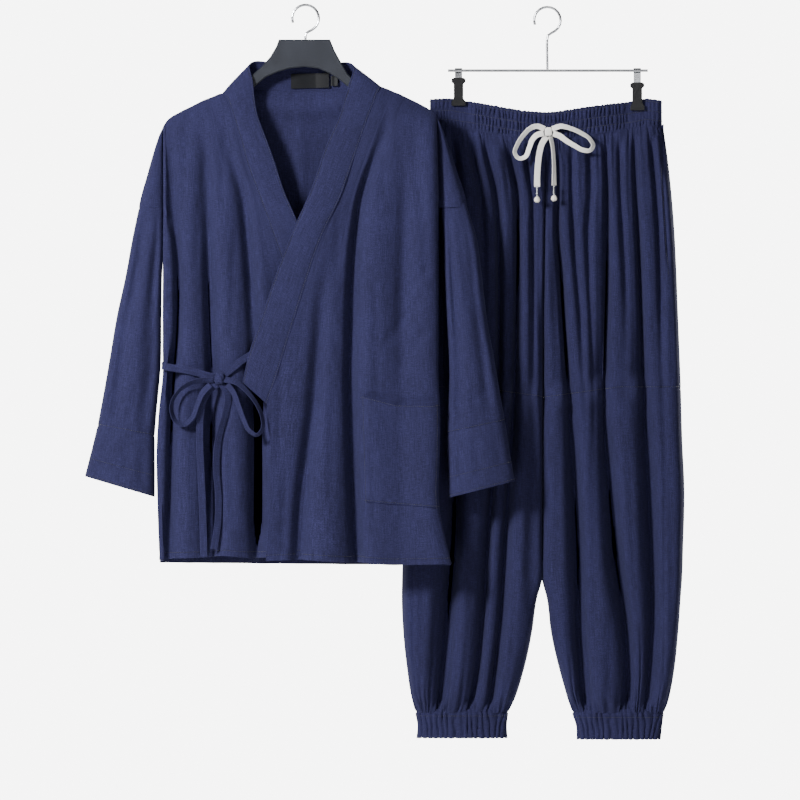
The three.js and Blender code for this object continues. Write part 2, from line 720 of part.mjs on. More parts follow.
// The patch pocket, from beside a fold to the over front's outer fold
const pocketTopLine = [
  { x: 85, z: -585 },
  { x: 106, z: -590 },
  { x: 136, z: -598 },
  { x: 190, z: -599 },
  { x: 201, z: -597 },
];
const pocketBottomLine = [
  { x: 85, z: -743 },
  { x: 198, z: -752 },
];
const pocketLeftX = 86;
const pocketStandOff = 2.2;
const pocketFirst = wingSpans + 1;
const pocketLast = overColumns.length - 1;
const pocketMiddleZ = -660;
const pocketLeft = locate(overColumns, pocketLeftX, pocketMiddleZ, pocketFirst, pocketLast).i;
const pocketColumns = [pocketFirst];
for (let i = pocketFirst + 1; i < pocketLeft - 0.2; i += 1) pocketColumns.push(i);
pocketColumns.push(pocketLeft);
const pocketPanelRows = [11, 11.5, 12];
const rowAt = (x, z) => locate(overColumns, x, z, pocketFirst, pocketLast).j;
const pocketRows = (i) => {
  const x = onPanel(overColumns, i, pocketPanelRows[0]).x;
  const top = rowAt(x, readAcross(pocketTopLine, "z", x));
  const bottom = rowAt(x, readAcross(pocketBottomLine, "z", x));
  return [top, ...pocketPanelRows, bottom].sort((a, b) => a - b);
};
const pocketPoints = layOn(overColumns, pocketColumns, pocketRows, pocketStandOff);
addPiece(jacket, "patch_pocket", clothGeometry(pocketPoints, clothWall), navyCloth);

// Labels sewn to the inside of the band behind the neck
function neckLabel(name, left, right, top, bottom, tilt, standOff) {
  const first = bandStations.findIndex((station) => station.layer === 2);
  const last = bandStations.findLastIndex((station) => station.layer === 2);
  const columns = [left, (left + right) / 2, right].map((x) =>
    [top, (top + bottom) / 2, bottom].map((height) => {
      const z = height + tilt * (x - left);
      let station = first;
      while (station < last - 1 && bandStations[station + 1].inX > x) station += 1;
      const before = bandStations[station];
      const after = bandStations[station + 1];
      const along = clamp((x - before.inX) / (after.inX - before.inX), 0, 1);
      const y = mix(mix(before.inY, after.inY, along), mix(before.outY, after.outY, along), 0.5);
      return point(x, y - bandWall - standOff, z);
    }),
  );
  return addPiece(jacket, name, clothGeometry(columns, labelWall, { flip: true }), labelCloth);
}
neckLabel("neck_label", -22, 35, -101, -123, 0.03, labelStandOff);
neckLabel("neck_size_tab", 38, 48, -104, -119, 0.03, tabStandOff);

// A flat ribbon along a path. Each row of the path has its place and turn, the angle in degrees between the
// ribbon's width and the picture plane. An upright ribbon's width stands up instead.
function ribbonGeometry(path, width, thickness, upright = false) {
  const centre = path.map((row) => point(row[0], row[1], row[2]));
  const positions = [];
  const outline = [
    [0.5, 0.25],
    [0.42, 0.5],
    [-0.42, 0.5],
    [-0.5, 0.25],
    [-0.5, -0.25],
    [-0.42, -0.5],
    [0.42, -0.5],
    [0.5, -0.25],
  ];
  const towards = point(0, 1, 0);
  const rings = centre.map((here, k) => {
    const ahead = centre[Math.min(k + 1, centre.length - 1)];
    const behind = centre[Math.max(k - 1, 0)];
    const along = ahead.clone().sub(behind).normalize();
    const inPlane = upright ? point(0, 0, 1) : along.clone().cross(towards).normalize();
    const turn = THREE.MathUtils.degToRad(path[k][3] ?? 0);
    const wide = inPlane.multiplyScalar(Math.cos(turn)).addScaledVector(towards, Math.sin(turn));
    wide.addScaledVector(along, -wide.dot(along)).normalize();
    const thick = along.clone().cross(wide).normalize();
    return outline.map(([across, deep]) => {
      return here.clone().addScaledVector(wide, across * width).addScaledVector(thick, deep * thickness);
    });
  });
  const triangle = (a, b, c) => positions.push(...a.toArray(), ...b.toArray(), ...c.toArray());
  for (let k = 0; k < rings.length - 1; k += 1) {
    for (let m = 0; m < outline.length; m += 1) {
      const n = (m + 1) % outline.length;
      triangle(rings[k][m], rings[k][n], rings[k + 1][n]);
      triangle(rings[k][m], rings[k + 1][n], rings[k + 1][m]);
    }
  }
  const firstRing = rings[0];
  const lastRing = rings[rings.length - 1];
  for (let m = 1; m < outline.length - 1; m += 1) {
    triangle(firstRing[0], firstRing[m + 1], firstRing[m]);
    triangle(lastRing[0], lastRing[m], lastRing[m + 1]);
  }
  return closedGeometry(positions);
}

// The jacket's two fabric ties and their bow: x, y, z and turn
const tiePaths = {
  side_tie_run: [
    [-212, -10, -539, 0],
    [-214, -16.5, -539, 0],
    [-214.4, -21, -539.5, 0],
    [-208.5, -24.6, -541, 0],
    [-190, -25.4, -544, 0],
    [-165, -26.5, -549, 0],
    [-147, -27.5, -554, 0],
    [-135.5, -28.4, -557, 0],
  ],
  band_tie_run: [
    [-87, -29.5, -527, 0],
    [-97, -29.5, -533, 0],
    [-108, -29.2, -542, 0],
    [-121.6, -28.9, -553, 0],
  ],
  tie_loop_left: [
    [-136.6, -33, -561, 35],
    [-155, -34.8, -561, 45],
    [-173, -35.3, -566, 55],
    [-190, -34.8, -578, 65],
    [-199, -33.8, -593, 65],
    [-199.5, -32.8, -610, 60],
    [-192, -32.3, -624, 55],
    [-180, -32.3, -627, 50],
    [-169, -32.8, -617, 50],
    [-161, -33.3, -597, 50],
    [-152, -35.3, -578, 40],
    [-142, -36.3, -568, 35],
  ],
  tie_loop_right: [
    [-120.7, -33.8, -560, 35],
    [-104, -36, -564, 45],
    [-88, -37.8, -577, 55],
    [-72, -38.5, -598, 60],
    [-64, -38.5, -618, 62],
    [-64, -38.5, -634, 62],
    [-72, -38, -643, 60],
    [-83, -37, -637, 55],
    [-93, -36.3, -618, 50],
    [-101, -35.8, -596, 45],
    [-109, -34.8, -577, 40],
    [-117, -34.3, -568, 35],
  ],
  tie_tail_left: [
    [-132.2, -28.5, -566.6, 0],
    [-143, -28.6, -575, 2],
    [-152, -28.3, -590, 8],
    [-157, -27.8, -615, 12],
    [-158, -27.3, -650, 8],
    [-156, -27.3, -700, 5],
    [-154, -27.3, -750, 3],
    [-152.5, -27.3, -795, 2],
    [-152, -27.3, -826, 0],
  ],
  tie_tail_right: [
    [-124.2, -30.6, -567, 20],
    [-116, -30.3, -585, 25],
    [-118, -29.8, -605, 30],
    [-125, -29.3, -630, 32],
    [-132, -28.8, -660, 30],
    [-133, -28.3, -695, 26],
    [-130, -28.3, -735, 22],
    [-131, -28.3, -775, 18],
    [-137, -28.3, -814, 15],
  ],
};
for (const [name, path] of Object.entries(tiePaths)) {
  addPiece(jacket, name, ribbonGeometry(path, tieWidth, tieThickness, name.includes("run")), navyCloth);
}

function knotGeometry(width, depth, height) {
  return new THREE.SphereGeometry(0.5, 10, 7).scale(width, depth, height);
}
const tieKnot = addPiece(jacket, "tie_knot", knotGeometry(16, 12, 19), navyCloth);
tieKnot.position.set(-128.5, -32, -558.5);

// Turns a manifold solid back into a three.js geometry
function fromSolid(solid) {
  const mesh = solid.getMesh();
  const geometry = new THREE.BufferGeometry();
  geometry.setAttribute("position", new THREE.BufferAttribute(mesh.vertProperties, 3));
  geometry.setIndex(new THREE.BufferAttribute(mesh.triVerts, 1));
  return geometry;
}

function toSolid(geometry) {
  const bare = geometry.clone();
  bare.deleteAttribute("normal");
  bare.deleteAttribute("uv");
  const merged = mergeVertices(bare, 1e-3);
  return new wasm.Manifold(
    new wasm.Mesh({
      numProp: 3,
      vertProperties: Float32Array.from(merged.attributes.position.array),
      triVerts: Uint32Array.from(merged.index.array),
    }),
  );
}

// The jacket's hanger: one moulded plate with a flat boss that holds the hook
const hangerOutline = [
  [-40, -50],
  [-44, -61],
  [-53, -76],
  [-65, -90],
  [-82, -105],
  [-100, -126],
  [-124, -146],
  [-160, -156],
  [-198, -176],
  [-206, -186],
  [-203, -195],
  [-190, -196],
  [-150, -174],
  [-110, -150],
  [-76, -120],
  [-59, -106],
  [-40, -98],
  [-22, -93],
  [-2, -91],
  [20, -93.5],
  [37, -101],
  [52, -111],
  [70, -126],
  [100, -145],
  [140, -166],
  [172, -184],
  [184, -185],
  [188, -178],
  [182, -168],
  [148, -149],
  [112, -137],
  [88, -125],
  [74, -112],
  [63, -101],
  [55, -87],
  [44, -67],
  [37, -50],
];
function hangerBody() {
  const outline = new THREE.Shape(hangerOutline.map(([x, z]) => new THREE.Vector2(x, z)));
  const bevel = 1.5;
  const plate = new THREE.ExtrudeGeometry(outline, {
    depth: hangerThickness - 2 * bevel,
    bevelThickness: bevel,
    bevelSize: bevel,
    bevelOffset: -bevel,
    bevelSegments: 1,
  });
  plate.rotateX(Math.PI / 2);
  plate.translate(0, hangerThickness / 2 - bevel, 0);
  return fromSolid(toSolid(plate));
}
addPiece(jacket, "hanger_body", hangerBody(), charcoalPlastic);

// A hook of round wire: nearly a full turn, then down to its seat
function hookGeometry(stemBottom) {
  const centreZ = hookWire / 2 - hookRadius;
  const stops = [];
  const turnStart = 200;
  const turnEnd = -62;
  for (let angle = turnStart; angle >= turnEnd; angle -= 23.8) {
    const a = THREE.MathUtils.degToRad(angle);
    stops.push(point(hookRadius * Math.cos(a), 0, centreZ + hookRadius * Math.sin(a)));
  }
  const throat = centreZ - hookRadius;
  stops.push(point(1.5, 0, throat - 2));
  stops.push(point(0, 0, throat - 6));
  stops.push(point(0, 0, stemBottom));
  const curve = new THREE.CatmullRomCurve3(stops);
  const section = new THREE.Shape().absarc(0, 0, hookWire / 2, 0, Math.PI * 2);
  const wire = new THREE.ExtrudeGeometry(section, { steps: 24, curveSegments: 5, extrudePath: curve });
  return fromSolid(toSolid(wire));
}
addPiece(jacket, "hanger_hook", hookGeometry(hangerOutline[0][1] + seamGap), steel);

// Trousers: the lines that the panels share. They hang from two clips in a plane behind the jacket.

// Top edge of the waistband, across; it sags between the clips
const waistLine = [
  { x: 187, z: -137 },
  { x: 217, z: -136 },
  { x: 247, z: -141 },
  { x: 286, z: -148 },
  { x: 326, z: -155 },
  { x: 360, z: -157.5 },
  { x: 376, z: -156.5 },
  { x: 413, z: -151 },
  { x: 454, z: -145 },
  { x: 487, z: -141 },
  { x: 514, z: -136 },
  { x: 536, z: -139 },
];
const clipPlaces = [
  { name: "left", x: 230, jawZ: -147, topZ: -105 },
  { name: "right", x: 499.5, jawZ: -154, topZ: -112 },
];
const waistEnds = { left: 187, right: 537 };
const pinchDepth = 3.4;
const clipReach = 15;
const waistDepth = 21;

// Half depth of the waist at x: nearly nothing at the clips and at the sides, full between them. The clips' hold
// fades from holdEnd below the top edge, over freeRun.
const holdEnd = 18;
const freeRun = 60;
function waistHalfDepth(x, drop) {
  const [leftClip, rightClip] = clipPlaces;
  const ends = clamp(Math.min(x - waistEnds.left, waistEnds.right - x) / legRound, 0, 1);
  const span = rightClip.x - leftClip.x - 2 * clipReach;
  const between = clamp((x - leftClip.x - clipReach) / span, 0, 1);
  const toClip = Math.min(Math.abs(x - leftClip.x), Math.abs(x - rightClip.x));
  const outside = clamp((toClip - clipReach) / 40, 0, 1);
  const bulge = between > 0 && between < 1 ? Math.sin(Math.PI * between) ** 0.7 : outside * 0.3;
  const pinched = pinchDepth + (waistDepth - pinchDepth) * bulge;
  const freed = clamp((drop - holdEnd) / freeRun, 0, 1);
  return mix(pinched, waistDepth, eased(freed)) * Math.sqrt(ends);
}

// The outline of the legs, down: outer sides and the two inner legs
const legLines = [
  { z: -135, leftOuter: 187, leftInner: 361, rightInner: 361, rightOuter: 537 },
  { z: -178, leftOuter: 186, leftInner: 361, rightInner: 361, rightOuter: 538 },
  { z: -202, leftOuter: 180, leftInner: 361, rightInner: 361, rightOuter: 542 },
  { z: -256, leftOuter: 172, leftInner: 360, rightInner: 360, rightOuter: 549 },
  { z: -351, leftOuter: 163, leftInner: 359, rightInner: 359, rightOuter: 557 },
  { z: -486, leftOuter: 157, leftInner: 358, rightInner: 358, rightOuter: 562 },
  { z: -561, leftOuter: 155, leftInner: 358, rightInner: 358, rightOuter: 565 },
  { z: -670, leftOuter: 151, leftInner: 357, rightInner: 357, rightOuter: 568 },
  { z: -726, leftOuter: 149, leftInner: 357, rightInner: 357, rightOuter: 571 },
  { z: -852, leftOuter: 145, leftInner: 354, rightInner: 358, rightOuter: 568 },
  { z: -877, leftOuter: 144, leftInner: 350, rightInner: 362, rightOuter: 566 },
  { z: -924, leftOuter: 145, leftInner: 344, rightInner: 366, rightOuter: 563 },
  { z: -979, leftOuter: 150, leftInner: 334, rightInner: 377, rightOuter: 558 },
  { z: -1030, leftOuter: 157, leftInner: 319, rightInner: 391, rightOuter: 549 },
  { z: -1048, leftOuter: 162, leftInner: 311, rightInner: 398, rightOuter: 543 },
  { z: -1063, leftOuter: 167, leftInner: 304, rightInner: 403, rightOuter: 539 },
];
// The two legs part from crotchTop down and are apart at crotchHeight
const crotchTop = -400;
const crotchHeight = -515;
const centreX = 361;

// Half depth of the legs, down
const legDepths = [
  { z: -178, front: 24, back: 22 },
  { z: -260, front: 27, back: 25 },
  { z: -420, front: 29, back: 27 },
  { z: -580, front: 31, back: 29 },
  { z: -800, front: 32, back: 31 },
  { z: -960, front: 32, back: 31 },
  { z: -1030, front: 27, back: 27 },
  { z: -1063, front: 20, back: 20 },
];

// Folds of the trousers' fronts. Each row of paths: the middle x at the heights in foldHeights, then the depth
// near the waist, at the middle and low on that panel, and the half width.
const upperHeights = [-200, -260, -320, -380, -470, -590];
const leftUpperFolds = [
  { xs: [199, 199, 201, 203, 206, 208], depths: [9, 11, 8], half: 9 },
  { xs: [222, 228, 233, 237, 238, 236], depths: [9, 12, 16], half: 10 },
  { xs: [245, 261, 266, 268, 268, 268], depths: [10, 9, 3], half: 9 },
  { xs: [268, 284, 290, 291, 291, 290], depths: [10, 13, 16], half: 10 },
  { xs: [304, 318, 320, 320, 318, 313], depths: [12, 16, 15], half: 10 },
  { xs: [330, 340, 341, 342, 342, 340], depths: [9, 8, 3], half: 8 },
];
const rightUpperFolds = [
  { xs: [378, 381, 378, 384, 389, 398], depths: [10, 14, 17], half: 10 },
  { xs: [401, 401, 402, 406, 414, 421], depths: [9, 8, 2], half: 8 },
  { xs: [427, 430, 425, 425, 429, 434], depths: [10, 13, 4], half: 10 },
  { xs: [450, 454, 454, 454, 452, 448], depths: [10, 15, 17], half: 10 },
  { xs: [472, 473, 476, 480, 482, 480], depths: [9, 12, 3], half: 9 },
  { xs: [494, 496, 499, 502, 505, 510], depths: [10, 14, 16], half: 10 },
  { xs: [520, 526, 530, 533, 535, 538], depths: [9, 8, 4], half: 8 },
];
const lowerHeights = [-590, -660, -741, -831, -921, -1011, -1063];
const leftLowerFolds = [
  { xs: [236, 228, 226, 222, 215, 207, 202], depths: [16, 19, 12], half: 14 },
  { xs: [290, 285, 280, 273, 268, 258, 246], depths: [16, 15, 12], half: 12 },
  { xs: [313, 309, 304, 299, 294, 283, 274], depths: [15, 14, 10], half: 12 },
];
const rightLowerFolds = [
  { xs: [398, 403, 407, 411, 412, 418, 424], depths: [17, 18, 12], half: 14 },
  { xs: [448, 453, 460, 468, 482, 488, 484], depths: [17, 18, 12], half: 14 },
  { xs: [510, 514, 518, 522, 524, 518, 512], depths: [16, 15, 10], half: 13 },
];

// The backs hang in a like way; their folds are set evenly with an uneven step
function backFolds(heights, outer, inner, count, depths, half) {
  const drift = [3, -4, 5, -2, 4, -5];
  return Array.from({ length: count }, (_, k) => {
    const share = (k + 0.8) / (count + 0.6);
    const xs = heights.map((z, m) => {
      const x = mix(read(legLines, outer, z), read(legLines, inner, z), share);
      return x + drift[(k + m) % drift.length];
    });
    return { xs, depths: depths.map((depth) => depth * (k % 2 ? 0.8 : 1)), half };
  });
}

function asFoldRows(heights, folds) {
  return folds.map((fold) => ({
    half: fold.half,
    rows: heights.map((z, m) => {
      const share = (m / (heights.length - 1)) * 2;
      const [high, middle, low] = fold.depths;
      const depth = share < 1 ? mix(high, middle, share) : mix(middle, low, share - 1);
      return { z, x: fold.xs[m], depth };
    }),
  }));
}

// One panel of a leg: columns from the centre or inner leg out to the side seam
function legPanel(side, face, folds, rowHeights) {
  const innerName = side < 0 ? "leftInner" : "rightInner";
  const outerName = side < 0 ? "leftOuter" : "rightOuter";
  const depthName = face < 0 ? "front" : "back";
  const columns = [];
  rowHeights.forEach((height, j) => {
    const innerX = read(legLines, innerName, height) + (side * seamGap) / 2;
    const outerX = read(legLines, outerName, height);
    const half = read(legDepths, depthName, height);
    const closed = clamp((crotchTop - height) / (crotchTop - crotchHeight), 0, 1);
    const low = Math.min(innerX, outerX) + legRound * 0.5;
    const high = Math.max(innerX, outerX) - legRound * 0.5;
    const middle = foldColumns(folds, height, low, high);
    if (side < 0) middle.reverse();
    // share is how much of the leg's depth a column has: the centre seam lies in a soft hollow, which
    // deepens to the inner leg, and the side is rounded
    const hollow = 0.45 * clamp((legDepths[0].z - height) / 90, 0, 1);
    const across = [
      { x: innerX, dip: 0, share: mix(0.8, 0, Math.max(closed, hollow)) },
      { x: innerX + side * legRound * 0.22, dip: 0, share: mix(0.9, 0.62, closed) },
      ...middle.map((column) => ({ ...column, share: 1 })),
      { x: outerX - side * legRound * 0.45, dip: 0, share: 0.93 },
      { x: outerX - side * legRound * 0.1, dip: 0, share: 0.55 },
      { x: outerX, dip: 0, share: 0 },
    ];
    across.forEach((column, k) => {
      if (!columns[k]) columns[k] = [];
      const drop = Math.max(readAcross(waistLine, "z", column.x) - height, 0);
      const waist = waistHalfDepth(column.x, drop);
      const free = clamp(drop / 110, 0, 1);
      const depth = Math.min(mix(waist, half, free), half) * column.share;
      const dip = column.dip * clamp(drop / 60, 0, 1);
      const y = trousersPlane + face * Math.max(depth - dip, seamGap / 2);
      const z = rowHeights === upperRows ? upperLevel(column.x, j) : lowerLevel(column.x, j);
      columns[k].push(point(column.x, y, z));
    });
  });
  return columns;
}

// The seam across each thigh rises a little towards the side
const thighHeight = -588;
function thighSeam(x) {
  return thighHeight + 15 * Math.min(1, Math.abs(x - centreX) / 110);
}

// The upper panels' rows start along the waistband's lower edge and end along the thigh seam
const upperRows = [-186, -222, -270, -330, -400, -460, -520, -580];
function upperLevel(x, j) {
  const waistEdge = readAcross(waistLine, "z", x) - waistbandHeight - seamGap;
  const hold = 1 - j / (upperRows.length - 1);
  const last = upperRows[upperRows.length - 1];
  return upperRows[j] + (waistEdge - upperRows[0]) * hold ** 2 + (thighSeam(x) - last) * (1 - hold) ** 2;
}

// The lower panels' rows start along the thigh seam and soon run level
const lowerRows = [-580, -650, -730, -810, -880, -940, -995, -1035, -1062.5];
function lowerLevel(x, j) {
  const hold = Math.max(0, 1 - j / 2);
  return lowerRows[j] + (thighSeam(x) - seamGap - lowerRows[0]) * hold;
}

for (const [sideName, side, frontUpper, frontLower] of [
  ["left", -1, leftUpperFolds, leftLowerFolds],
  ["right", 1, rightUpperFolds, rightLowerFolds],
]) {
  const outer = sideName + "Outer";
  const inner = sideName + "Inner";
  const upperBack = backFolds(upperHeights, outer, inner, 5, [8, 12, 13], 12);
  const lowerBack = backFolds(lowerHeights, outer, inner, 3, [13, 14, 10], 14);
  if (side > 0) {
    upperBack.reverse();
    lowerBack.reverse();
  }
  const panels = [
    ["upper_front", -1, asFoldRows(upperHeights, frontUpper), upperRows],
    ["upper_back", 1, asFoldRows(upperHeights, upperBack), upperRows],
    ["lower_front", -1, asFoldRows(lowerHeights, frontLower), lowerRows],
    ["lower_back", 1, asFoldRows(lowerHeights, lowerBack), lowerRows],
  ];
  for (const [part, face, folds, rows] of panels) {
    const columns = legPanel(side, face, folds, rows);
    const lastColumn = columns.length - 1;
    const square = (i, j) => {
      const level = j === 0 || j === rows.length - 1 ? "z" : "";
      if (i === lastColumn) return level + "y";
      if (i > 0) return level;
      return level + (columns[0][j].z < crotchTop ? "y" : "x");
    };
    const geometry = clothGeometry(columns, clothWall, { flip: side * face < 0, square });
    addPiece(trousers, `leg_${part}_${sideName}`, geometry, navyTrousers);
  }
}

// The gathered waistband: one strip for the front and one for the back, waved by its elastic
const waistWave = 2.2;
function waistbandStrip(face) {
  const count = waistWaves * 2;
  const drops = [0, waistbandHeight * 0.42, waistbandHeight];
  const columns = Array.from({ length: count + 1 }, (_, k) => {
    const share = k / count;
    const end = k === 0 || k === count;
    const backSag = face > 0 ? 1.5 * Math.sin(Math.PI * share) : 0;
    return drops.map((drop, j) => {
      const sway = j > 0 && !end ? 0.5 * Math.sin(k * 1.7) : 0;
      const x = mix(waistEnds.left, waistEnds.right, share) + sway;
      const half = waistHalfDepth(x, drop);
      const toClip = Math.min(...clipPlaces.map((clip) => Math.abs(x - clip.x)));
      const still = clamp((toClip - clipReach) / 10, 0, 1);
      const held = mix(still, 1, clamp((drop - holdEnd) / 25, 0, 1));
      const wave = waistWave * held * (k % 2 ? 1 : -1) * Math.min(1, half / 8);
      const depth = end ? seamGap / 2 : Math.max(half + wave, waistWave);
      const z = readAcross(waistLine, "z", x) - drop - backSag * Math.max(0, 1 - j / 2);
      return point(x, trousersPlane + face * depth, z);
    });
  });
  const square = (i, j) => (i === 0 || i === count ? "y" : "") + (j === 0 || j === drops.length - 1 ? "z" : "");
  return clothGeometry(columns, clothWall, { flip: face < 0, square });
}
addPiece(trousers, "waistband_front", waistbandStrip(-1), navyTrousers);
addPiece(trousers, "waistband_back", waistbandStrip(1), navyTrousers);

// The ankle cuffs: closed rings of gathered elastic
const ankleTop = lowerRows[lowerRows.length - 1] - seamGap - 0.5;
const ankleRings = {
  left: [
    { outX: 166, inX: 305, z: ankleTop, half: 20 },
    { outX: 169, inX: 303, z: -1081, half: 18 },
    { outX: 168, inX: 304, z: -1100, half: 20 },
  ],
  right: [
    { outX: 539.5, inX: 402.5, z: ankleTop, half: 20 },
    { outX: 537, inX: 408, z: -1082, half: 18 },
    { outX: 535, inX: 409, z: -1102, half: 20 },
  ],
};
for (const [sideName, rings] of Object.entries(ankleRings)) {
  const count = ankleWaves * 2;
  const columns = Array.from({ length: count }, (_, k) =>
    rings.map((ring) => {
      const wave = ankleWave * (k % 2 ? 1 : -1);
      const angle = (Math.PI * 2 * k) / count;
      const c = Math.cos(angle);
      const s = Math.sin(angle);
      const across = Math.sign(c) * Math.abs(c) ** 0.85;
      const deep = Math.sign(s) * Math.abs(s) ** 0.7;
      const middleX = (ring.outX + ring.inX) / 2;
      const halfX = Math.abs(ring.outX - ring.inX) / 2 + wave * Math.abs(c);
      return point(middleX + halfX * across, trousersPlane - (ring.half + wave) * deep, ring.z);
    }),
  );
  const square = (i, j) => (j === 0 || j === rings.length - 1 ? "z" : "");
  const geometry = clothGeometry(columns, clothWall, { wrap: true, square });
  addPiece(trousers, `ankle_cuff_${sideName}`, geometry, navyTrousers);
}

// The drawstring: a flat pale cord tied in a bow, with a metal tip and an end bead on each tail
const bowY = trousersPlane - waistDepth - 7;
const tailEndY = bowY - 5;
const drawstringPaths = {
  drawstring_loop_left: [
    [359.2, bowY - 1, -183, 20],
    [349, bowY - 3, -179, 30],
    [338, bowY - 3.5, -182, 40],
    [327, bowY - 3.5, -193, 45],
    [318, bowY - 3.5, -207, 50],
    [314.5, bowY - 3, -219, 50],
    [320, bowY - 2.5, -227, 50],
    [330, bowY - 2, -225, 45],
    [336, bowY - 2, -212, 40],
    [341, bowY - 2, -199, 30],
    [349, bowY - 2, -191.5, 20],
    [357.8, bowY - 1, -189.5, 15],
  ],
  drawstring_loop_right: [
    [370.8, bowY - 1, -183, 20],
    [383, bowY - 3, -179, 30],
    [398, bowY - 3.5, -182, 40],
    [414, bowY - 3.5, -189, 45],
    [428, bowY - 3.5, -199, 50],
    [432.5, bowY - 3, -208, 50],
    [428, bowY - 2.5, -215, 50],
    [418, bowY - 2, -215, 45],
    [404, bowY - 2, -208, 40],
    [391, bowY - 2, -200, 30],
    [381, bowY - 2, -193, 20],
    [372.3, bowY - 1, -190, 15],
  ],
  drawstring_tail_left: [
    [361.8, bowY + 0.6, -194.4, 0],
    [355, bowY - 1, -206, 5],
    [351, bowY - 2.5, -222, 8],
    [349, bowY - 4, -240, 8],
    [348, tailEndY, -256, 5],
    [348, tailEndY, -270, 0],
  ],
  drawstring_tail_right: [
    [368.2, bowY + 0.5, -194.6, 45],
    [371.5, bowY - 1, -210, 55],
    [373, bowY - 3, -228, 55],
    [373.5, bowY - 4.5, -246, 50],
    [373.5, tailEndY, -258, 45],
    [373.5, tailEndY, -268, 40],
  ],
};
for (const [name, path] of Object.entries(drawstringPaths)) {
  addPiece(trousers, name, ribbonGeometry(path, drawstringWidth, drawstringThickness), creamCord);
}
const bowKnot = addPiece(trousers, "drawstring_knot", knotGeometry(13.5, 8, 15), creamCord);
bowKnot.position.set(365, bowY + 0.7, -187);

// A tip and a bead turned round the tail's end
function turnedPiece(name, profile, material, x, z) {
  const outline = profile.map(([radius, height]) => new THREE.Vector2(radius, height));
  const turned = new THREE.LatheGeometry(outline, 10);
  turned.rotateX(Math.PI / 2);
  const piece = addPiece(trousers, name, fromSolid(toSolid(turned)), material);
  piece.position.set(x, tailEndY, z);
}
const tipProfile = [
  [0, -14],
  [1.8, -14],
  [2.2, -12.5],
  [2.2, -1.5],
  [2.6, 0],
  [0, 0],
];
const beadProfile = [
  [0, -9],
  [2.2, -9],
  [4.6, -7],
  [4.8, -4.5],
  [3.4, -1.5],
  [1.6, 0],
  [0, 0],
];
for (const [sideName, x, z] of [
  ["left", 348, -270.3],
  ["right", 373.5, -268.3],
]) {
  turnedPiece(`drawstring_tip_${sideName}`, tipProfile, steel, x, z);
  turnedPiece(`drawstring_bead_${sideName}`, beadProfile, creamCord, x, z - 14.3);
}

// The two waist clips: jaws either side of the waistband, joined over its top edge
const clipWidth = 21;
const clipNeckWidth = 14.5;
const clipJaw = 4;
const bridgeDrop = 4;
const bridgeHeight = 10;
const barRadius = 2;
function clipJawGeometry(clip, face) {
  const jawTop = clip.topZ;
  const neckLow = clip.jawZ + 11;
  const neckHigh = clip.topZ - 9;
  const outline = [
    [-clipWidth / 2, clip.jawZ],
    [clipWidth / 2, clip.jawZ],
    [clipWidth / 2, clip.jawZ + 6],
    [clipNeckWidth / 2, neckLow],
    [clipNeckWidth / 2, neckHigh],
    [clipWidth / 2, neckHigh + 3],
    [clipWidth / 2, jawTop - 2],
    [clipNeckWidth / 2, jawTop],
    [-clipNeckWidth / 2, jawTop],
    [-clipWidth / 2, jawTop - 2],
    [-clipWidth / 2, neckHigh + 3],
    [-clipNeckWidth / 2, neckHigh],
    [-clipNeckWidth / 2, neckLow],
    [-clipWidth / 2, clip.jawZ + 6],
  ];
  const shape = new THREE.Shape(outline.map(([x, z]) => new THREE.Vector2(x, z)));
  const jaw = new THREE.ExtrudeGeometry(shape, { depth: clipJaw, bevelEnabled: false });
  jaw.rotateX(Math.PI / 2);
  const gripGap = 0.7;
  const offset = pinchDepth + gripGap + (face > 0 ? clipJaw : 0);
  jaw.translate(clip.x, trousersPlane + face * offset, 0);
  return jaw;
}
for (const clip of clipPlaces) {
  const front = toSolid(clipJawGeometry(clip, -1));
  const back = toSolid(clipJawGeometry(clip, 1));
  const bridge = new THREE.BoxGeometry(clipNeckWidth - 3, 2 * (pinchDepth + 2), bridgeHeight);
  bridge.translate(clip.x, trousersPlane, clip.topZ - bridgeDrop - bridgeHeight / 2);
  const joined = front.add(back).add(toSolid(bridge));
  addPiece(trousers, `waist_clip_${clip.name}`, fromSolid(joined), blackPlastic);
}

// Each clip hangs from the bar by a steel loop: a sleeve round the bar and a tab down to the clip
const loopWidth = 11;
const loopWall = 1.6;
function clipLoopGeometry(clip) {
  const innerRadius = barRadius + seamGap;
  const outerRadius = innerRadius + loopWall;
  const profile = [
    [innerRadius, -loopWidth / 2],
    [outerRadius, -loopWidth / 2],
    [outerRadius, loopWidth / 2],
    [innerRadius, loopWidth / 2],
    [innerRadius, -loopWidth / 2],
  ];
  const outline = profile.map(([radius, along]) => new THREE.Vector2(radius, along));
  const sleeve = new THREE.LatheGeometry(outline, 12);
  sleeve.rotateZ(Math.PI / 2);
  sleeve.translate(clip.x, trousersPlane, barHeight);
  const tabTop = barHeight - innerRadius - 0.5;
  const tabBottom = clip.topZ - bridgeDrop + seamGap;
  const tab = new THREE.BoxGeometry(loopWidth, loopWall, tabTop - tabBottom);
  tab.translate(clip.x, trousersPlane, (tabTop + tabBottom) / 2);
  return fromSolid(toSolid(sleeve).add(toSolid(tab)));
}
for (const clip of clipPlaces) {
  addPiece(trousers, `clip_loop_${clip.name}`, clipLoopGeometry(clip), steel);
}

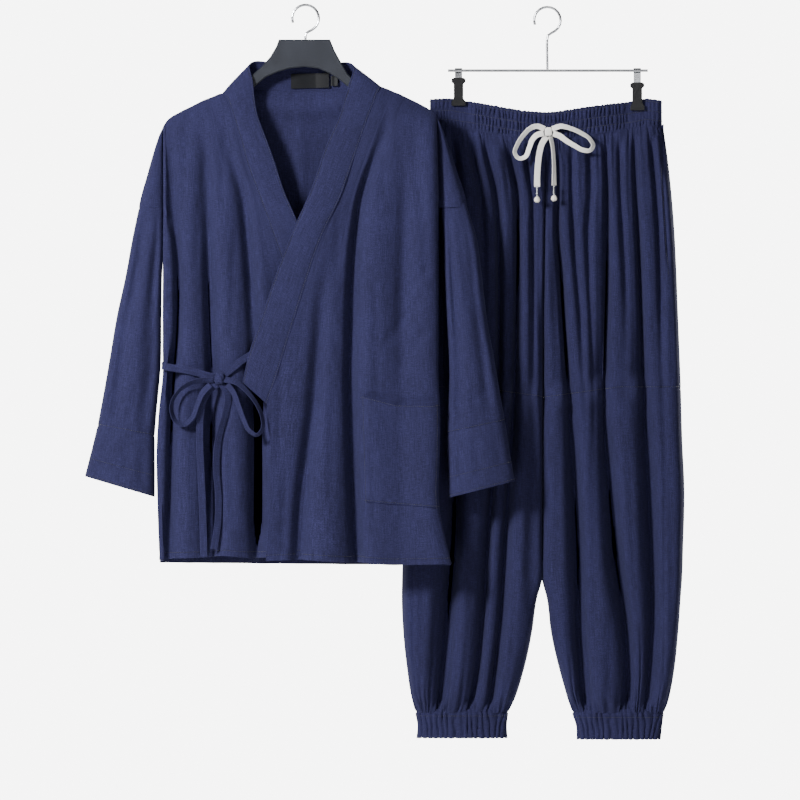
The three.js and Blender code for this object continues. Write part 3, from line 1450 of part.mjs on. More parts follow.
const barOverhang = 16;
const barLength = clipPlaces[1].x - clipPlaces[0].x + 2 * barOverhang;
const barGeometry = new THREE.CylinderGeometry(barRadius, barRadius, barLength, 12);
const bar = addPiece(trousers, "clip_hanger_bar", barGeometry, steel);
bar.rotation.z = Math.PI / 2;
bar.position.set((clipPlaces[0].x + clipPlaces[1].x) / 2, trousersPlane, barHeight);
const clipHook = addPiece(trousers, "clip_hanger_hook", hookGeometry(barHeight + barRadius + seamGap), steel);
clipHook.position.set(clipHangerX, trousersPlane, 0);

export default garments;
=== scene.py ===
# A wrap-front jacket on a hanger and a pair of gathered trousers on a clip hanger, hung side by side.
# Tables are in millimetres, in the part's frame: X is the viewer's right, -Y faces the viewer, +Z is up.
import math

import bpy
import numpy as np
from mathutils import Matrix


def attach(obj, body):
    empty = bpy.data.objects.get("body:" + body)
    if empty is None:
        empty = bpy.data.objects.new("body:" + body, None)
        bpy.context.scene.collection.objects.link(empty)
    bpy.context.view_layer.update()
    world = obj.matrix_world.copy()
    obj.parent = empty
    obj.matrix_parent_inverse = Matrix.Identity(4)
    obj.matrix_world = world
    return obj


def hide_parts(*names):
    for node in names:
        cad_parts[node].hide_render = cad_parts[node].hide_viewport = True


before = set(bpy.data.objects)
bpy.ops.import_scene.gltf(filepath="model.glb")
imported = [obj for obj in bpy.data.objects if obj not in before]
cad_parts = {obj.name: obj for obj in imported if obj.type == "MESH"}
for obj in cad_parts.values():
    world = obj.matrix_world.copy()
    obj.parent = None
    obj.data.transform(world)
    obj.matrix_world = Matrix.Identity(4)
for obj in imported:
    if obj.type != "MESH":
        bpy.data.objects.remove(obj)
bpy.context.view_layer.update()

# Studio
# A plain white paper floor well below the two hangers, pale air around them, one soft key light at the front left
# with weaker ones for the shadows and the back, and a long lens square on to the middle of the set.
def add(tree, kind, links=(), **settings):
    """Adds a node: settings name its properties or, as numbers or names after in_, its inputs"""
    node = tree.nodes.new(kind)
    for name, value in settings.items():
        if name.startswith("in_"):
            key = name[3:].replace("_", " ")
            node.inputs[int(key) if key.isdigit() else key].default_value = value
        else:
            setattr(node, name, value)
    for key, source in links:
        tree.links.new(source, node.inputs[key])
    return node


def shade(hex_code):
    """An sRGB hex colour as linear light"""
    parts = [int(hex_code[k:k + 2], 16) / 255 for k in (0, 2, 4)]
    return (*[c / 12.92 if c <= 0.04045 else ((c + 0.055) / 1.055) ** 2.4 for c in parts], 1.0)


def new_material(name):
    material = bpy.data.materials.new(name)
    material.use_nodes = True
    material.node_tree.nodes.clear()
    return material, material.node_tree


def ranged(tree, value, low, high):
    """A value from 0 to 1, spread from low to high"""
    return add(tree, "ShaderNodeMapRange", [("Value", value)], in_3=low, in_4=high).outputs[0]


def surfaced(tree, links, relief=None, strength=0.0, depth=0.0, **settings):
    """A material's surface and its output; relief is a bump of the given strength and depth in metres"""
    if relief is not None:
        bump = add(tree, "ShaderNodeBump", [("Height", relief)], in_Strength=strength, in_Distance=depth)
        links = [*links, ("Normal", bump.outputs[0])]
    surface = add(tree, "ShaderNodeBsdfPrincipled", links, **settings)
    add(tree, "ShaderNodeOutputMaterial", [("Surface", surface.outputs[0])])


def new_object(name, data):
    thing = bpy.data.objects.new(name, data)
    bpy.context.collection.objects.link(thing)
    return thing


# matt white paper, below the picture's foot; from other sides it is lit to look pale
paper, tree = new_material("white_paper_floor")
seen = add(tree, "ShaderNodeLightPath")
surfaced(tree, [("Emission Strength", ranged(tree, seen.outputs["Is Camera Ray"], 0.0, 1.5))],
         in_Base_Color=shade("f4f4f4"), in_Roughness=0.9, in_Emission_Color=(1, 1, 1, 1))
floor_half, floor_height = 5.0, -1.75
floor_mesh = bpy.data.meshes.new("paper_floor")
floor_corners = [(-floor_half, -floor_half), (floor_half, -floor_half), (floor_half, floor_half),
                 (-floor_half, floor_half)]
floor_mesh.from_pydata([(x, y, floor_height) for x, y in floor_corners], [], [(0, 1, 2, 3)])
floor_mesh.materials.append(paper)
new_object("paper_floor", floor_mesh)

# the room is pale to look at, but gives the cloth little light of its own, so that folds stay deep
world = bpy.data.worlds.new("studio_air")
world.use_nodes = True
tree = world.node_tree
tree.nodes.clear()
seen = add(tree, "ShaderNodeLightPath")
strength = ranged(tree, seen.outputs["Is Camera Ray"], 0.08, 7.0)
air = add(tree, "ShaderNodeBackground", [("Strength", strength)], in_Color=(1, 1, 1, 1))
add(tree, "ShaderNodeOutputWorld", [("Surface", air.outputs[0])])
bpy.context.scene.world = world

# name, place, aimed at, width, watts
for name, place, aim, width, watts in [
    ("key_softbox", (-2.3, -2.7, 1.05), (0.15, 0, -0.6), 0.7, 268),
    ("fill_softbox", (1.2, -4.2, 0.4), (0.2, 0, -0.6), 1.2, 15),
    ("top_softbox", (0.6, -1.6, 2.0), (0.2, 0, -0.5), 1.0, 10),
    ("back_softbox_left", (-2.9, 2.8, 0.6), (0.1, 0, -0.6), 0.9, 70),
    ("back_softbox_right", (2.7, 2.9, 0.5), (0.3, 0, -0.6), 0.9, 170),
]:
    light = bpy.data.lights.new(name, "AREA")
    light.size = width
    light.energy = watts
    lamp = new_object(name, light)
    lamp.location = place
    direction = np.array(aim) - np.array(place)
    flat = math.hypot(direction[0], direction[1])
    lamp.rotation_euler = (math.atan2(flat, -direction[2]), 0, math.atan2(-direction[0], direction[1]))

view_width = 1.2
view_middle = (0.14175, -0.5907)
camera_distance = 12.0
film_width = 36
camera_data = bpy.data.cameras.new("front_camera")
camera_data.sensor_fit = "HORIZONTAL"
camera_data.sensor_width = film_width
camera_data.lens = film_width * camera_distance / view_width
camera_data.clip_end = 60
camera = new_object("front_camera", camera_data)
camera.location = (view_middle[0], -camera_distance, view_middle[1])
camera.rotation_euler = (math.radians(90), 0, 0)
bpy.context.scene.camera = camera

# Jacket back
# One panel of navy cotton and linen slub cloth, cut whole with both drop shoulders. It hangs from the hanger's
# arms in soft folds; the fronts are seamed to it along the shoulders, down the drop shoulders and the sides.
cloth_wall = 1.0
seam_gap = 0.08
seam_allowance = 7
hem_turn = 9
shoulder_round = 24

# across: x, z
shoulder_line = [
    (-217, -188), (-213.5, -181), (-208, -172), (-197, -163), (-173, -151), (-155, -142), (-124, -130), (-80, -133),
    (-28, -135), (22, -135), (70, -131), (112, -120), (142, -132), (164, -143), (187, -154), (196, -164), (199, -170)]
# down: z, left fold, right fold
body_edges = [
    (-196, -213, 196), (-553, -213, 197), (-600, -218, 200), (-665, -222, 200), (-748, -221, 199), (-790, -218, 208),
    (-835, -217.5, 217)]
shoulder_point = {-1: -213.5, 1: 196}
shoulder_tip = {-1: (-217, -188), 1: (199, -170)}
neck_point = (-124, 112)
arm_row = 5
arm_height = -302
body_heights = [arm_height, -352, -440, -505, -553, -600, -665, -748]
left_heights = [-181, -186, -197, -217, -247, *body_heights, -831]
right_heights = [-164, -169, -180, -200, -236, *body_heights, -835]
# the end of each drop shoulder: outer x, inner x, half depth
left_wing = (-250, -207, 13)
right_wing = (243, 200, 13)


def read(table, column, at):
    """Straight reading of a table whose first column rises or falls"""
    rows = np.array(sorted(table), float)
    return np.interp(at, rows[:, 0], rows[:, column])


def blend(a, b, share):
    return a + (b - a) * share


def eased(share):
    share = np.clip(share, 0, 1)
    return share * share * (3 - 2 * share)


def bell(off):
    return np.exp(-(off**2))


def hang_depth(drop, depth, flare):
    return depth * (1 - np.exp(-drop / shoulder_round)) + flare * drop / 650


def fold_columns(folds, z, left, right):
    """Across one row, each fold's left rim, trough and right rim, as x and dip"""
    troughs = [[float(read(rows, 1, z)), float(read(rows, 2, z)), half] for half, rows in folds]
    margin = 7
    count = len(troughs)
    room = (right - left) / (3 * count + 1)
    for k, trough in enumerate(troughs):
        low = left + min(margin + k * 3 * margin, room * (3 * k + 1.5))
        after = count - 1 - k
        high = right - min(margin + after * 3 * margin, room * (3 * after + 1.5))
        trough[0] = min(max(trough[0], low), high)
    columns = []
    for k, (x, depth, half) in enumerate(troughs):
        before = x - left if k == 0 else (x - troughs[k - 1][0]) / 2
        after = right - x if k == count - 1 else (troughs[k + 1][0] - x) / 2
        columns += [(x - min(half, before * 0.8), 0), (x, depth), (x + min(half, after * 0.8), 0)]
    return columns


def drop_shoulder(side, face, wing, heights, j):
    """Four points of one row, from the drop shoulder's ridge round to the valley beside the body. Below the arm
    seam the first three only carry the side's curve on, and have no cloth"""
    outer, inner, half = wing
    if j > arm_row:
        valley_x = float(read(body_edges, 1 if side < 0 else 2, heights[j])) - side * 5
        return [(valley_x - side * 2 * t, face * (seam_gap / 2 - 7 * t), heights[j]) for t in (3, 2, 1, 0)]
    share = (heights[0] - heights[j]) / (heights[0] - arm_height)
    row = []
    for k, angle in enumerate((math.pi, math.pi * 2 / 3, math.pi / 3, 0)):
        top_x = blend(shoulder_tip[side][0], shoulder_point[side], k / 4)
        top_z = blend(shoulder_tip[side][1], heights[0], k / 4)
        end_x = (outer + inner) / 2 + (inner - outer) / 2 * math.cos(angle)
        out = 0 if k == 0 else half * math.sin(angle) * min(1, 1.1 * math.sqrt(share))
        row.append((blend(top_x, end_x, share**0.85), face * (seam_gap / 2 + out), blend(top_z, arm_height, share)))
    return row


def smooth_net(net, steps, axis):
    """Bends a coarse net smoothly through its own points, with steps[k] spans after point k"""
    p = np.moveaxis(net, axis, 0)
    gap = np.linalg.norm(np.diff(p, axis=0), axis=-1, keepdims=True) + 1e-6
    slope = np.diff(p, axis=0) / gap
    lean = (gap[1:] * slope[:-1] + gap[:-1] * slope[1:]) / (gap[1:] + gap[:-1])
    lean = np.concatenate([slope[:1], lean, slope[-1:]])
    parts = []
    for k, count in enumerate(steps):
        t = (np.arange(count) / count).reshape(-1, *[1] * (p.ndim - 1))
        start = (2 * t**3 - 3 * t**2 + 1) * p[k] + (t**3 - 2 * t**2 + t) * gap[k] * lean[k]
        parts.append(start + (3 * t**2 - 2 * t**3) * p[k + 1] + (t**3 - t**2) * gap[k] * lean[k + 1])
    parts.append(p[-1:])
    return np.moveaxis(np.concatenate(parts), 0, axis)


def fine_net(net, pitch_across, pitch_down, wings=()):
    """The smooth net and, for each coarse column and row, its place in the fine one"""
    net = np.array(net, float)
    across = np.linalg.norm(np.diff(net, axis=1), axis=-1).max(axis=0)
    down = np.linalg.norm(np.diff(net, axis=0), axis=-1).mean(axis=1)
    across = np.maximum(1, np.round(across / pitch_across)).astype(int)
    down = np.maximum(1, np.round(down / pitch_down)).astype(int)
    columns = np.concatenate([[0], np.cumsum(across)])
    wide = smooth_net(net, across, 1)
    for first, last in wings:
        part = slice(columns[first], columns[last] + (1 if last == -1 else 0))
        edge = first if last == -1 else last
        fall = net[arm_row + 1:, edge, 2] - net[arm_row, edge, 2]
        wide[arm_row + 1:, part] = wide[arm_row, part] + np.array([0, 0, 1]) * fall[:, None, None]
    return smooth_net(wide, down, 0), columns, np.concatenate([[0], np.cumsum(down)])


def smooth_down(rows, pitch):
    """The smooth net through coarse rows, its own rows about pitch apart"""
    down = np.linalg.norm(np.diff(rows, axis=0), axis=-1).mean(axis=1)
    return smooth_net(rows, np.maximum(1, np.round(down / pitch)).astype(int), 0)


def ringed(net):
    """A ring net with its first column once more at its end"""
    return np.concatenate([net, net[:, :1]], 1)


def one_side(face, at):
    """Keeps depths in front of a plane (face -1) or behind it (face 1)"""
    return (lambda y: np.minimum(y, at)) if face < 0 else (lambda y: np.maximum(y, at))


def face_out(net, closed=False):
    """Unit normals of a net of points, across x down"""
    if closed:
        across = np.roll(net, -1, axis=1) - np.roll(net, 1, axis=1)
    else:
        across = np.gradient(net, axis=1)
    normal = np.cross(across, np.gradient(net, axis=0))
    return normal / (np.linalg.norm(normal, axis=-1, keepdims=True) + 1e-9)


def cloth_lengths(net):
    """Distance along the cloth, across and down, from its first column and row"""
    across = np.linalg.norm(np.diff(net, axis=1, prepend=net[:, :1]), axis=-1).mean(axis=0).cumsum()
    down = np.linalg.norm(np.diff(net, axis=0, prepend=net[:1]), axis=-1).mean(axis=1).cumsum()
    return np.meshgrid(across, down)


def uneven(u, v, seed, size_u, size_v):
    """Soft uneven waves between about -1 and 1, of the given sizes"""
    lattice = np.random.default_rng(seed).uniform(-1, 1, (61, 67))
    a, b = u / size_u, v / size_v
    i, j = np.floor(a).astype(int), np.floor(b).astype(int)
    s, t = eased(a - i), eased(b - j)
    at = lambda m, n: lattice[(i + m) % 61, (j + n) % 67]
    return blend(blend(at(0, 0), at(1, 0), s), blend(at(0, 1), at(1, 1), s), t)


def creases(x, z, table):
    """Dips of creases. Rows: x and z of the start, x and z of the end, depth and half width"""
    dip = np.zeros_like(x)
    for x0, z0, x1, z1, depth, width in table:
        run = np.hypot(x1 - x0, z1 - z0)
        along = ((x - x0) * (x1 - x0) + (z - z0) * (z1 - z0)) / run**2
        off = ((x - x0) * (z1 - z0) - (z - z0) * (x1 - x0)) / run
        dip += depth * bell(off / width) * eased(along * 4) * eased((1 - along) * 4)
    return dip


def crumpled(net, seed, amount=1.0, closed=False):
    """The small unevenness of washed cotton and linen, mostly running down the cloth"""
    u, v = cloth_lengths(net)
    height = 0.45 * uneven(u, v, seed, 34, 120) + 0.22 * uneven(u, v, seed + 1, 13, 60)
    height += 0.09 * uneven(u, v, seed + 2, 5, 22)
    height *= eased(u / 20) * eased((u.max() - u) / 20)
    return net + face_out(net, closed) * (height * amount)[..., None]


def fall_away(net, folds, face, share, width, shift):
    """The cloth falls gently into each fold from its shadow side, well beyond the fold itself"""
    x, z = net[..., 0].copy(), net[..., 2]
    for _, rows in folds:
        deep = share * np.maximum(read(rows, 2, z) - 4, 0)
        net[..., 1] -= face * deep * bell((x - read(rows, 1, z) - shift) / width)
    return net


def sewn_piece(name, points, faces, cut, sharp):
    """An object in metres, with each corner's place on the flat cut, smooth below a sharp angle in degrees"""
    mesh = bpy.data.meshes.new(name)
    mesh.from_pydata(points, [], faces)
    mesh.uv_layers.new(name="cut").data.foreach_set("uv", cut.ravel())
    mesh.shade_smooth()
    mesh.set_sharp_from_angle(angle=math.radians(sharp))
    return new_object(name, mesh)


def sew_wall(name, net, wall=cloth_wall, keep=None, closed=False, stop=None):
    """A closed wall of cloth, as an object in metres, on a net of outer points: rows by columns, in millimetres"""
    rows, columns = net.shape[:2]
    inner = net - face_out(net, closed) * wall
    if stop is not None:
        inner[..., 1] = stop(inner[..., 1])
    width = columns if closed else columns - 1
    kept = np.ones((rows - 1, width), bool) if keep is None else keep
    number = np.arange(rows * (width + 1)).reshape(rows, width + 1)
    j, i = np.nonzero(kept)
    a, b, c, d = number[j, i], number[j, i + 1], number[j + 1, i + 1], number[j + 1, i]
    back = number.size
    faces = [np.stack([a, b, c, d], 1), np.stack([a, d, c, b], 1) + back]
    ring = np.pad(kept, 1)
    if closed:
        ring[:, 0], ring[:, -1] = ring[:, -2], ring[:, 1]
    for missing, p, q in [(~ring[j + 1, i], d, a), (~ring[j + 1, i + 2], b, c), (~ring[j, i + 1], a, b),
                          (~ring[j + 2, i + 1], c, d)]:
        p, q = p[missing], q[missing]
        faces.append(np.stack([q, p, p + back, q + back], 1))
    corners = np.concatenate(faces).ravel()
    u, v = cloth_lengths(ringed(net) if closed else net)
    cut = np.tile(np.stack([u.ravel(), v.ravel()], 1) / 1000, (2, 1))
    place = (np.arange(rows)[:, None] * columns + np.arange(width + 1) % columns).ravel()
    place = np.concatenate([place, place + rows * columns])
    points = np.concatenate([net.reshape(-1, 3), inner.reshape(-1, 3)]) / 1000
    used, vertices = np.unique(place[corners], return_inverse=True)
    return sewn_piece(name, points[used].tolist(), vertices.reshape(-1, 4).tolist(), cut[corners], 65)


def dress(piece, material, slot, *nodes):
    """Puts a piece in its cloth, in place of its plain solids, on the part's one body"""
    piece.data.materials.append(material)
    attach(piece, "root")
    if nodes:
        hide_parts(*nodes)
    return piece


def grain_noise(tree, cut, scale, place=(0, 0, 0), **settings):
    """Noise over a cut piece, scaled across and down"""
    spot = add(tree, "ShaderNodeMapping", [("Vector", cut.outputs[0])], in_Scale=scale, in_Location=place)
    return add(tree, "ShaderNodeTexNoise", [("Vector", spot.outputs[0])], noise_dimensions="2D", in_Scale=1.0,
               **settings).outputs[0]


def mixed(tree, a, b, share):
    return add(tree, "ShaderNodeMix", [("A", a), ("B", b)], data_type="FLOAT", in_0=share).outputs[0]


def slub_cloth(name, deep, middle, light, grain_seed):
    """Navy cotton and linen slub, yarn dyed and washed: matt, with uneven yarns that run down the cloth as short
    lighter and darker streaks, finer ones across, a soft pile that catches light at the edges of folds"""
    material, tree = new_material(name)
    cut = add(tree, "ShaderNodeUVMap", uv_map="cut")
    # warp slubs: 1.2 mm wide and 24 mm long; weft slubs: 1.3 mm wide and 9 mm long
    warp = grain_noise(tree, cut, (830, 42, 1), (grain_seed, 0, 0), in_Detail=3.0, in_Roughness=0.65)
    weft = grain_noise(tree, cut, (110, 770, 1), (0, grain_seed, 0), in_Detail=2.0, in_Roughness=0.5)
    # wash marks: soft patches 60 mm across
    wash = grain_noise(tree, cut, (16, 9, 1), (grain_seed, 3, 0), in_Detail=2.0)
    # the weave itself is 0.5 mm; it is drawn at 1.1 mm so that it shows
    weave = grain_noise(tree, cut, (900, 900, 1), in_Detail=1.0)
    yarns = mixed(tree, warp, weft, 0.4)
    tone = mixed(tree, mixed(tree, yarns, wash, 0.15), weave, 0.35)
    colours = add(tree, "ShaderNodeValToRGB", [("Fac", tone)])
    ramp = colours.color_ramp.elements
    ramp[0].position, ramp[0].color = 0.36, shade(deep)
    ramp[1].position, ramp[1].color = 0.64, shade(light)
    ramp.new(0.5).color = shade(middle)
    surfaced(tree, [("Base Color", colours.outputs[0])], mixed(tree, yarns, weave, 0.3), 0.7, 0.0007,
             in_Roughness=0.9, in_Specular_IOR_Level=0.2, in_Sheen_Weight=0.1, in_Sheen_Roughness=0.5,
             in_Sheen_Tint=shade("8d92c4"))
    return material


jacket_cloth = slub_cloth("navy_slub_cotton", "1a1a35", "232343", "303058", 1.0)

# half width, rows of z, x, depth
back_folds = []
for k, (x, depth, half) in enumerate([(-180, 15, 12), (-136, 8, 13), (-70, 17, 15), (-8, 6, 14), (54, 14, 16),
                                      (128, 17, 14), (170, 7, 12)]):
    sway = 4 if k % 2 else -4
    back_folds.append((half, [(-190, x * 0.93, 1), (-320, x * 0.98, depth * 0.55), (-560, x + sway, depth),
                              (-833, x - sway + 1, depth * 0.9)]))
back_depth = 22
back_neck_depth = 23

back_net = []
for j in range(len(left_heights)):
    left_x = shoulder_point[-1] if j == 0 else float(read(body_edges, 1, left_heights[j]))
    right_x = shoulder_point[1] if j == 0 else float(read(body_edges, 2, right_heights[j]))
    folds = fold_columns(back_folds, (left_heights[j] + right_heights[j]) / 2, left_x, right_x)
    across = [(left_x, 0), (left_x + 5, 0), *folds, (right_x - 5, 0), (right_x, 0)]
    last = j / (len(left_heights) - 1)
    row = drop_shoulder(-1, 1, left_wing, left_heights, j)
    for k, (x, dip) in enumerate(across):
        share = (x - left_x) / (right_x - left_x)
        top = read(shoulder_line, 1, blend(shoulder_point[-1], shoulder_point[1], share))
        drop = blend(left_heights[0] - left_heights[j], right_heights[0] - right_heights[j], share)
        level = blend(left_heights[j], right_heights[j], share)
        z = level if j > arm_row else top - drop
        if j == len(left_heights) - 1:
            z = level - 4
        neck_share = np.clip((x - neck_point[0]) / (neck_point[1] - neck_point[0]), 0, 1)
        if j == 0 and 0 < neck_share < 1:
            z -= 2.4
        edge = 0.86 if k in (0, len(across) - 1) else 1
        neck_y = back_neck_depth * math.sin(math.pi * neck_share) ** 0.6
        y = hang_depth(top - z, back_depth, 3) * edge - dip * min(1, last * 3)
        row.append((x, max(y, neck_y * (1 - last) ** 6, seam_gap / 2), z))
    row += drop_shoulder(1, 1, right_wing, right_heights, j)[::-1]
    back_net.append(row)
back_net, back_columns, back_rows = fine_net(back_net, 4.2, 5.0, wings=[(0, 3), (-4, -1)])


def cloth_cells(net, columns, rows, both):
    """Cells of a panel that have cloth: the drop shoulders, at the first columns or at both sides, end at the arm
    seam"""
    keep = np.ones((net.shape[0] - 1, net.shape[1] - 1), bool)
    keep[rows[arm_row]:, : columns[3]] = False
    if both:
        keep[rows[arm_row]:, columns[-4]:] = False
    return keep


def turn_hem(net, sway=0.0):
    """A narrow turned hem along the last row: a soft ridge, and a dip at its stitching. Sway lifts it here and
    there"""
    u, v = cloth_lengths(net)
    up = v.max() - v
    net = net.copy()
    net[..., 2] += sway * uneven(u, 0 * v, 31, 70, 70) * eased(1 - up / 80) * eased(np.minimum(u, u.max() - u) / 30)
    ridge = 0.45 * eased(1 - up / hem_turn) - 0.5 * bell((up - hem_turn) / 1.8)
    return net + face_out(net) * ridge[..., None]


def tuck(net, rise, depth):
    """Adds the seam allowance above the first row: it runs up behind the next piece"""
    behind = net[:1] - face_out(net)[:1] * depth + np.array([0, 0, rise])
    return np.concatenate([behind, net])


stitch_runs = {}


def stitch_line(group, net, up=None, column=None, proud=0.25):
    """Notes a line of stitches on a net: a given distance up from the last row, or down one column"""
    outer = net + face_out(net) * proud
    if column is not None:
        stitch_runs.setdefault(group, []).append(outer[:, column])
        return
    v = cloth_lengths(net)[1][:, 0]
    share = np.interp(v[-1] - up, v, np.arange(len(v)))
    j = min(int(share), len(v) - 2)
    stitch_runs.setdefault(group, []).append(blend(outer[j], outer[j + 1], share - j))


back_keep = cloth_cells(back_net, back_columns, back_rows, True)
back_net = turn_hem(crumpled(back_net, 11))
back_net[..., 1] = np.maximum(back_net[..., 1], seam_gap / 2)
at_neck = eased((back_net[0, :, 0] - neck_point[0]) / 12) * eased((neck_point[1] - back_net[0, :, 0]) / 12)
back_net[0] += at_neck[:, None] * np.array([0, -0.8, 9])
jacket_back = sew_wall("jacket_back_panel", back_net, keep=back_keep, stop=one_side(1, seam_gap / 2))
dress(jacket_back, jacket_cloth, "navy_cloth", "jacket_back")
stitch_line("jacket", back_net[:, back_columns[3]:back_columns[-4]], up=hem_turn)

# Jacket fronts
# Two panels of the same cloth. The one at the viewer's left lies under; the other wraps over it. Each is sewn
# to the back at shoulder and side and carries the collar band on its slanting edge, with a turned hem below.
front_depth = 25
hem_flare = 5
wrap_step = 6
# the collar band, from the over front's end round the neck: inner x and z, outer x and z, inner and outer y
# where it stands round the neck, and its layer: 0 over, 1 under, 2 neck
band_stations = [
    (-94, -564, -57, -597, 0, 0, 0), (-84, -520, -43, -556, 0, 0, 0), (-70, -480, -28, -508, 0, 0, 0),
    (-47, -411, -8, -444, 0, 0, 0), (-13, -324, 26, -343, 0, 0, 0), (8, -277, 52, -288, 0, 0, 0),
    (31, -210, 76, -220, 0, 0, 0), (52, -162, 96, -163, 0, 0, 0), (58, -141, 102, -148, 0, 0, 0),
    (65, -118, 107, -133, 0, 0, 0), (71, -88, 112, -120, 0, 0, 0), (65, -84, 101, -123, 9, 9, 2),
    (45, -84, 70, -131, 17, 18, 2), (15, -84, 22, -135, 21, 23, 2), (-22, -84, -28, -135, 21, 23, 2),
    (-54, -83, -80, -133, 16, 18, 2), (-76, -82, -113, -130, 9, 9, 2), (-83, -86, -124, -130, 0, 0, 1),
    (-79, -112, -117, -141, 0, 0, 1), (-72, -162, -107, -168, 0, 0, 1), (-59, -198, -97, -201, 0, 0, 1),
    (-49, -225, -88, -235, 0, 0, 1), (-32, -277, -70, -283, 0, 0, 1), (-13, -321, -53, -330, 0, 0, 1),
    (20, -411, -17, -444, 0, 0, 1), (36, -480, -4, -508, 0, 0, 1), (42, -520, 3, -556, 0, 0, 1),
    (48, -564, 12, -597, 0, 0, 1)]
over_edge_below = [(-52, -660), (-53, -745), (-59, -832)]
under_edge_below = [(14, -660), (16, -745), (20, -826)]
over_edge = [(s[1], s[0]) for s in band_stations if s[6] == 0] + [(z, x) for x, z in over_edge_below]


def front_y(drop, layer, x, z):
    y = -hang_depth(drop, front_depth, hem_flare)
    if layer == 0:
        return y
    covered = (x - read(over_edge, 1, z)) / 30
    return y + wrap_step * (1 - np.exp(-drop / shoulder_round)) + 12 * eased(covered)


def front_panel(side, layer, folds, seam, heights, wing, hem):
    net = []
    for j, height in enumerate(heights):
        seam_x, seam_z = seam[j]
        edge_x = shoulder_point[side] if j == 0 else float(read(body_edges, 1 if side < 0 else 2, height))
        xs = fold_columns(folds, (height + seam_z) / 2, min(edge_x, seam_x), max(edge_x, seam_x))
        if side > 0:
            xs.reverse()
        near_edge = edge_x - side * min(6, abs(seam_x - edge_x) * 0.03)
        across = [(edge_x, 0), (near_edge, 0), *xs, ((xs[-1][0] + seam_x) / 2, 0), (seam_x, 0)]
        last = j / (len(heights) - 1)
        row = drop_shoulder(side, -1, wing, heights, j)
        for k, (x, dip) in enumerate(across):
            share = min(abs(x - edge_x) / abs(seam_x - edge_x), 1)
            top = read(shoulder_line, 1, blend(shoulder_point[side], seam[0][0], share))
            z = top - blend(heights[0] - height, seam[0][1] - seam_z, share)
            if j > arm_row:
                z = blend(height, seam_z, share)
            if j == len(heights) - 1:
                z = read(hem, 1, x)
            if k == len(across) - 1:
                z = seam_z
            y = front_y(top - z, layer, x, z) * (0.86 if k == 0 else 1) + dip * min(1, last * 3)
            row.append((x, min(-seam_gap / 2 if j == 0 else y, -seam_gap / 2), z))
        net.append(row)
    return np.array(net)


# half width, rows of z, x, depth
under_folds = [
    (11, [(-200, -203, 2), (-300, -198, 9), (-381, -190, 16), (-471, -191, 17), (-600, -200, 18), (-748, -204, 17),
        (-831, -203, 10)]),
    (13, [(-160, -160, 0), (-230, -148, 5), (-381, -145, 16), (-471, -143, 17), (-561, -139, 17), (-700, -143, 16),
        (-831, -142, 13)]),
    (13, [(-160, -128, 0), (-235, -110, 4), (-300, -92, 12), (-381, -84, 15), (-561, -73, 9), (-640, -72, 14),
        (-740, -72, 17), (-831, -73, 15)])]
over_folds = [
    (16, [(-343, 46, 0), (-444, 24, 6), (-508, 20, 11), (-600, 13, 13), (-741, -5, 15), (-832, -10, 15)]),
    (14, [(-170, 120, 0), (-220, 98, 5), (-300, 80, 15), (-380, 71, 20), (-561, 67, 20), (-700, 71, 22),
        (-832, 77, 20)]),
    (16, [(-180, 148, 0), (-300, 150, 6), (-440, 146, 9), (-570, 144, 3), (-835, 146, 2)])]
over_seam = [(s[2] + seam_gap, s[3]) for s in reversed(band_stations) if s[6] == 0] + over_edge_below
under_seam = [(s[2] - seam_gap, s[3]) for s in band_stations if s[6] == 1] + under_edge_below
over_hem = [(-64, -832), (-10, -830), (44, -835), (121, -837), (217, -835)]
under_hem = [(-218, -831), (-169, -829), (-130, -823), (-98, -826), (46, -826)]

# small creases: start x, z, end x, z, depth, half width
under_creases = [
    (-72, -500, -66, -840, 15, 14), (-136, -600, -134, -840, 5, 9), (-176, -150, -186, -330, 1.6, 7),
    (-120, -170, -128, -330, 1.4, 6), (-150, -190, -166, -420, 1.5, 6), (-106, -330, -112, -520, 1.8, 6),
    (-168, -560, -172, -760, 2.0, 6), (-206, -520, -150, -548, 1.6, 7), (-118, -580, -106, -800, 2.0, 7),
    (-92, -380, -60, -470, 1.6, 6), (-205, -240, -170, -300, 1.2, 8), (-180, -640, -186, -800, 1.6, 5),
    (-150, -560, -206, -600, 1.2, 6)]
over_creases = [
    (86, -580, 136, -592, 3.6, 3.4), (136, -592, 202, -592.5, 3.6, 3.4), (122, -140, 112, -320, 1.6, 8),
    (160, -170, 172, -340, 1.6, 8), (52, -300, 44, -430, 1.4, 7), (186, -420, 110, -520, 2.2, 9),
    (190, -470, 130, -560, 1.8, 8), (104, -380, 108, -620, 1.8, 7), (-36, -520, -40, -700, 1.8, 6),
    (40, -560, 36, -780, 2.2, 8), (172, -240, 182, -420, 1.8, 7), (190, -380, 150, -440, 1.6, 7),
    (-30, -700, -34, -826, 1.6, 6), (100, -640, 104, -810, 1.4, 6), (20, -440, 60, -540, 1.2, 8)]

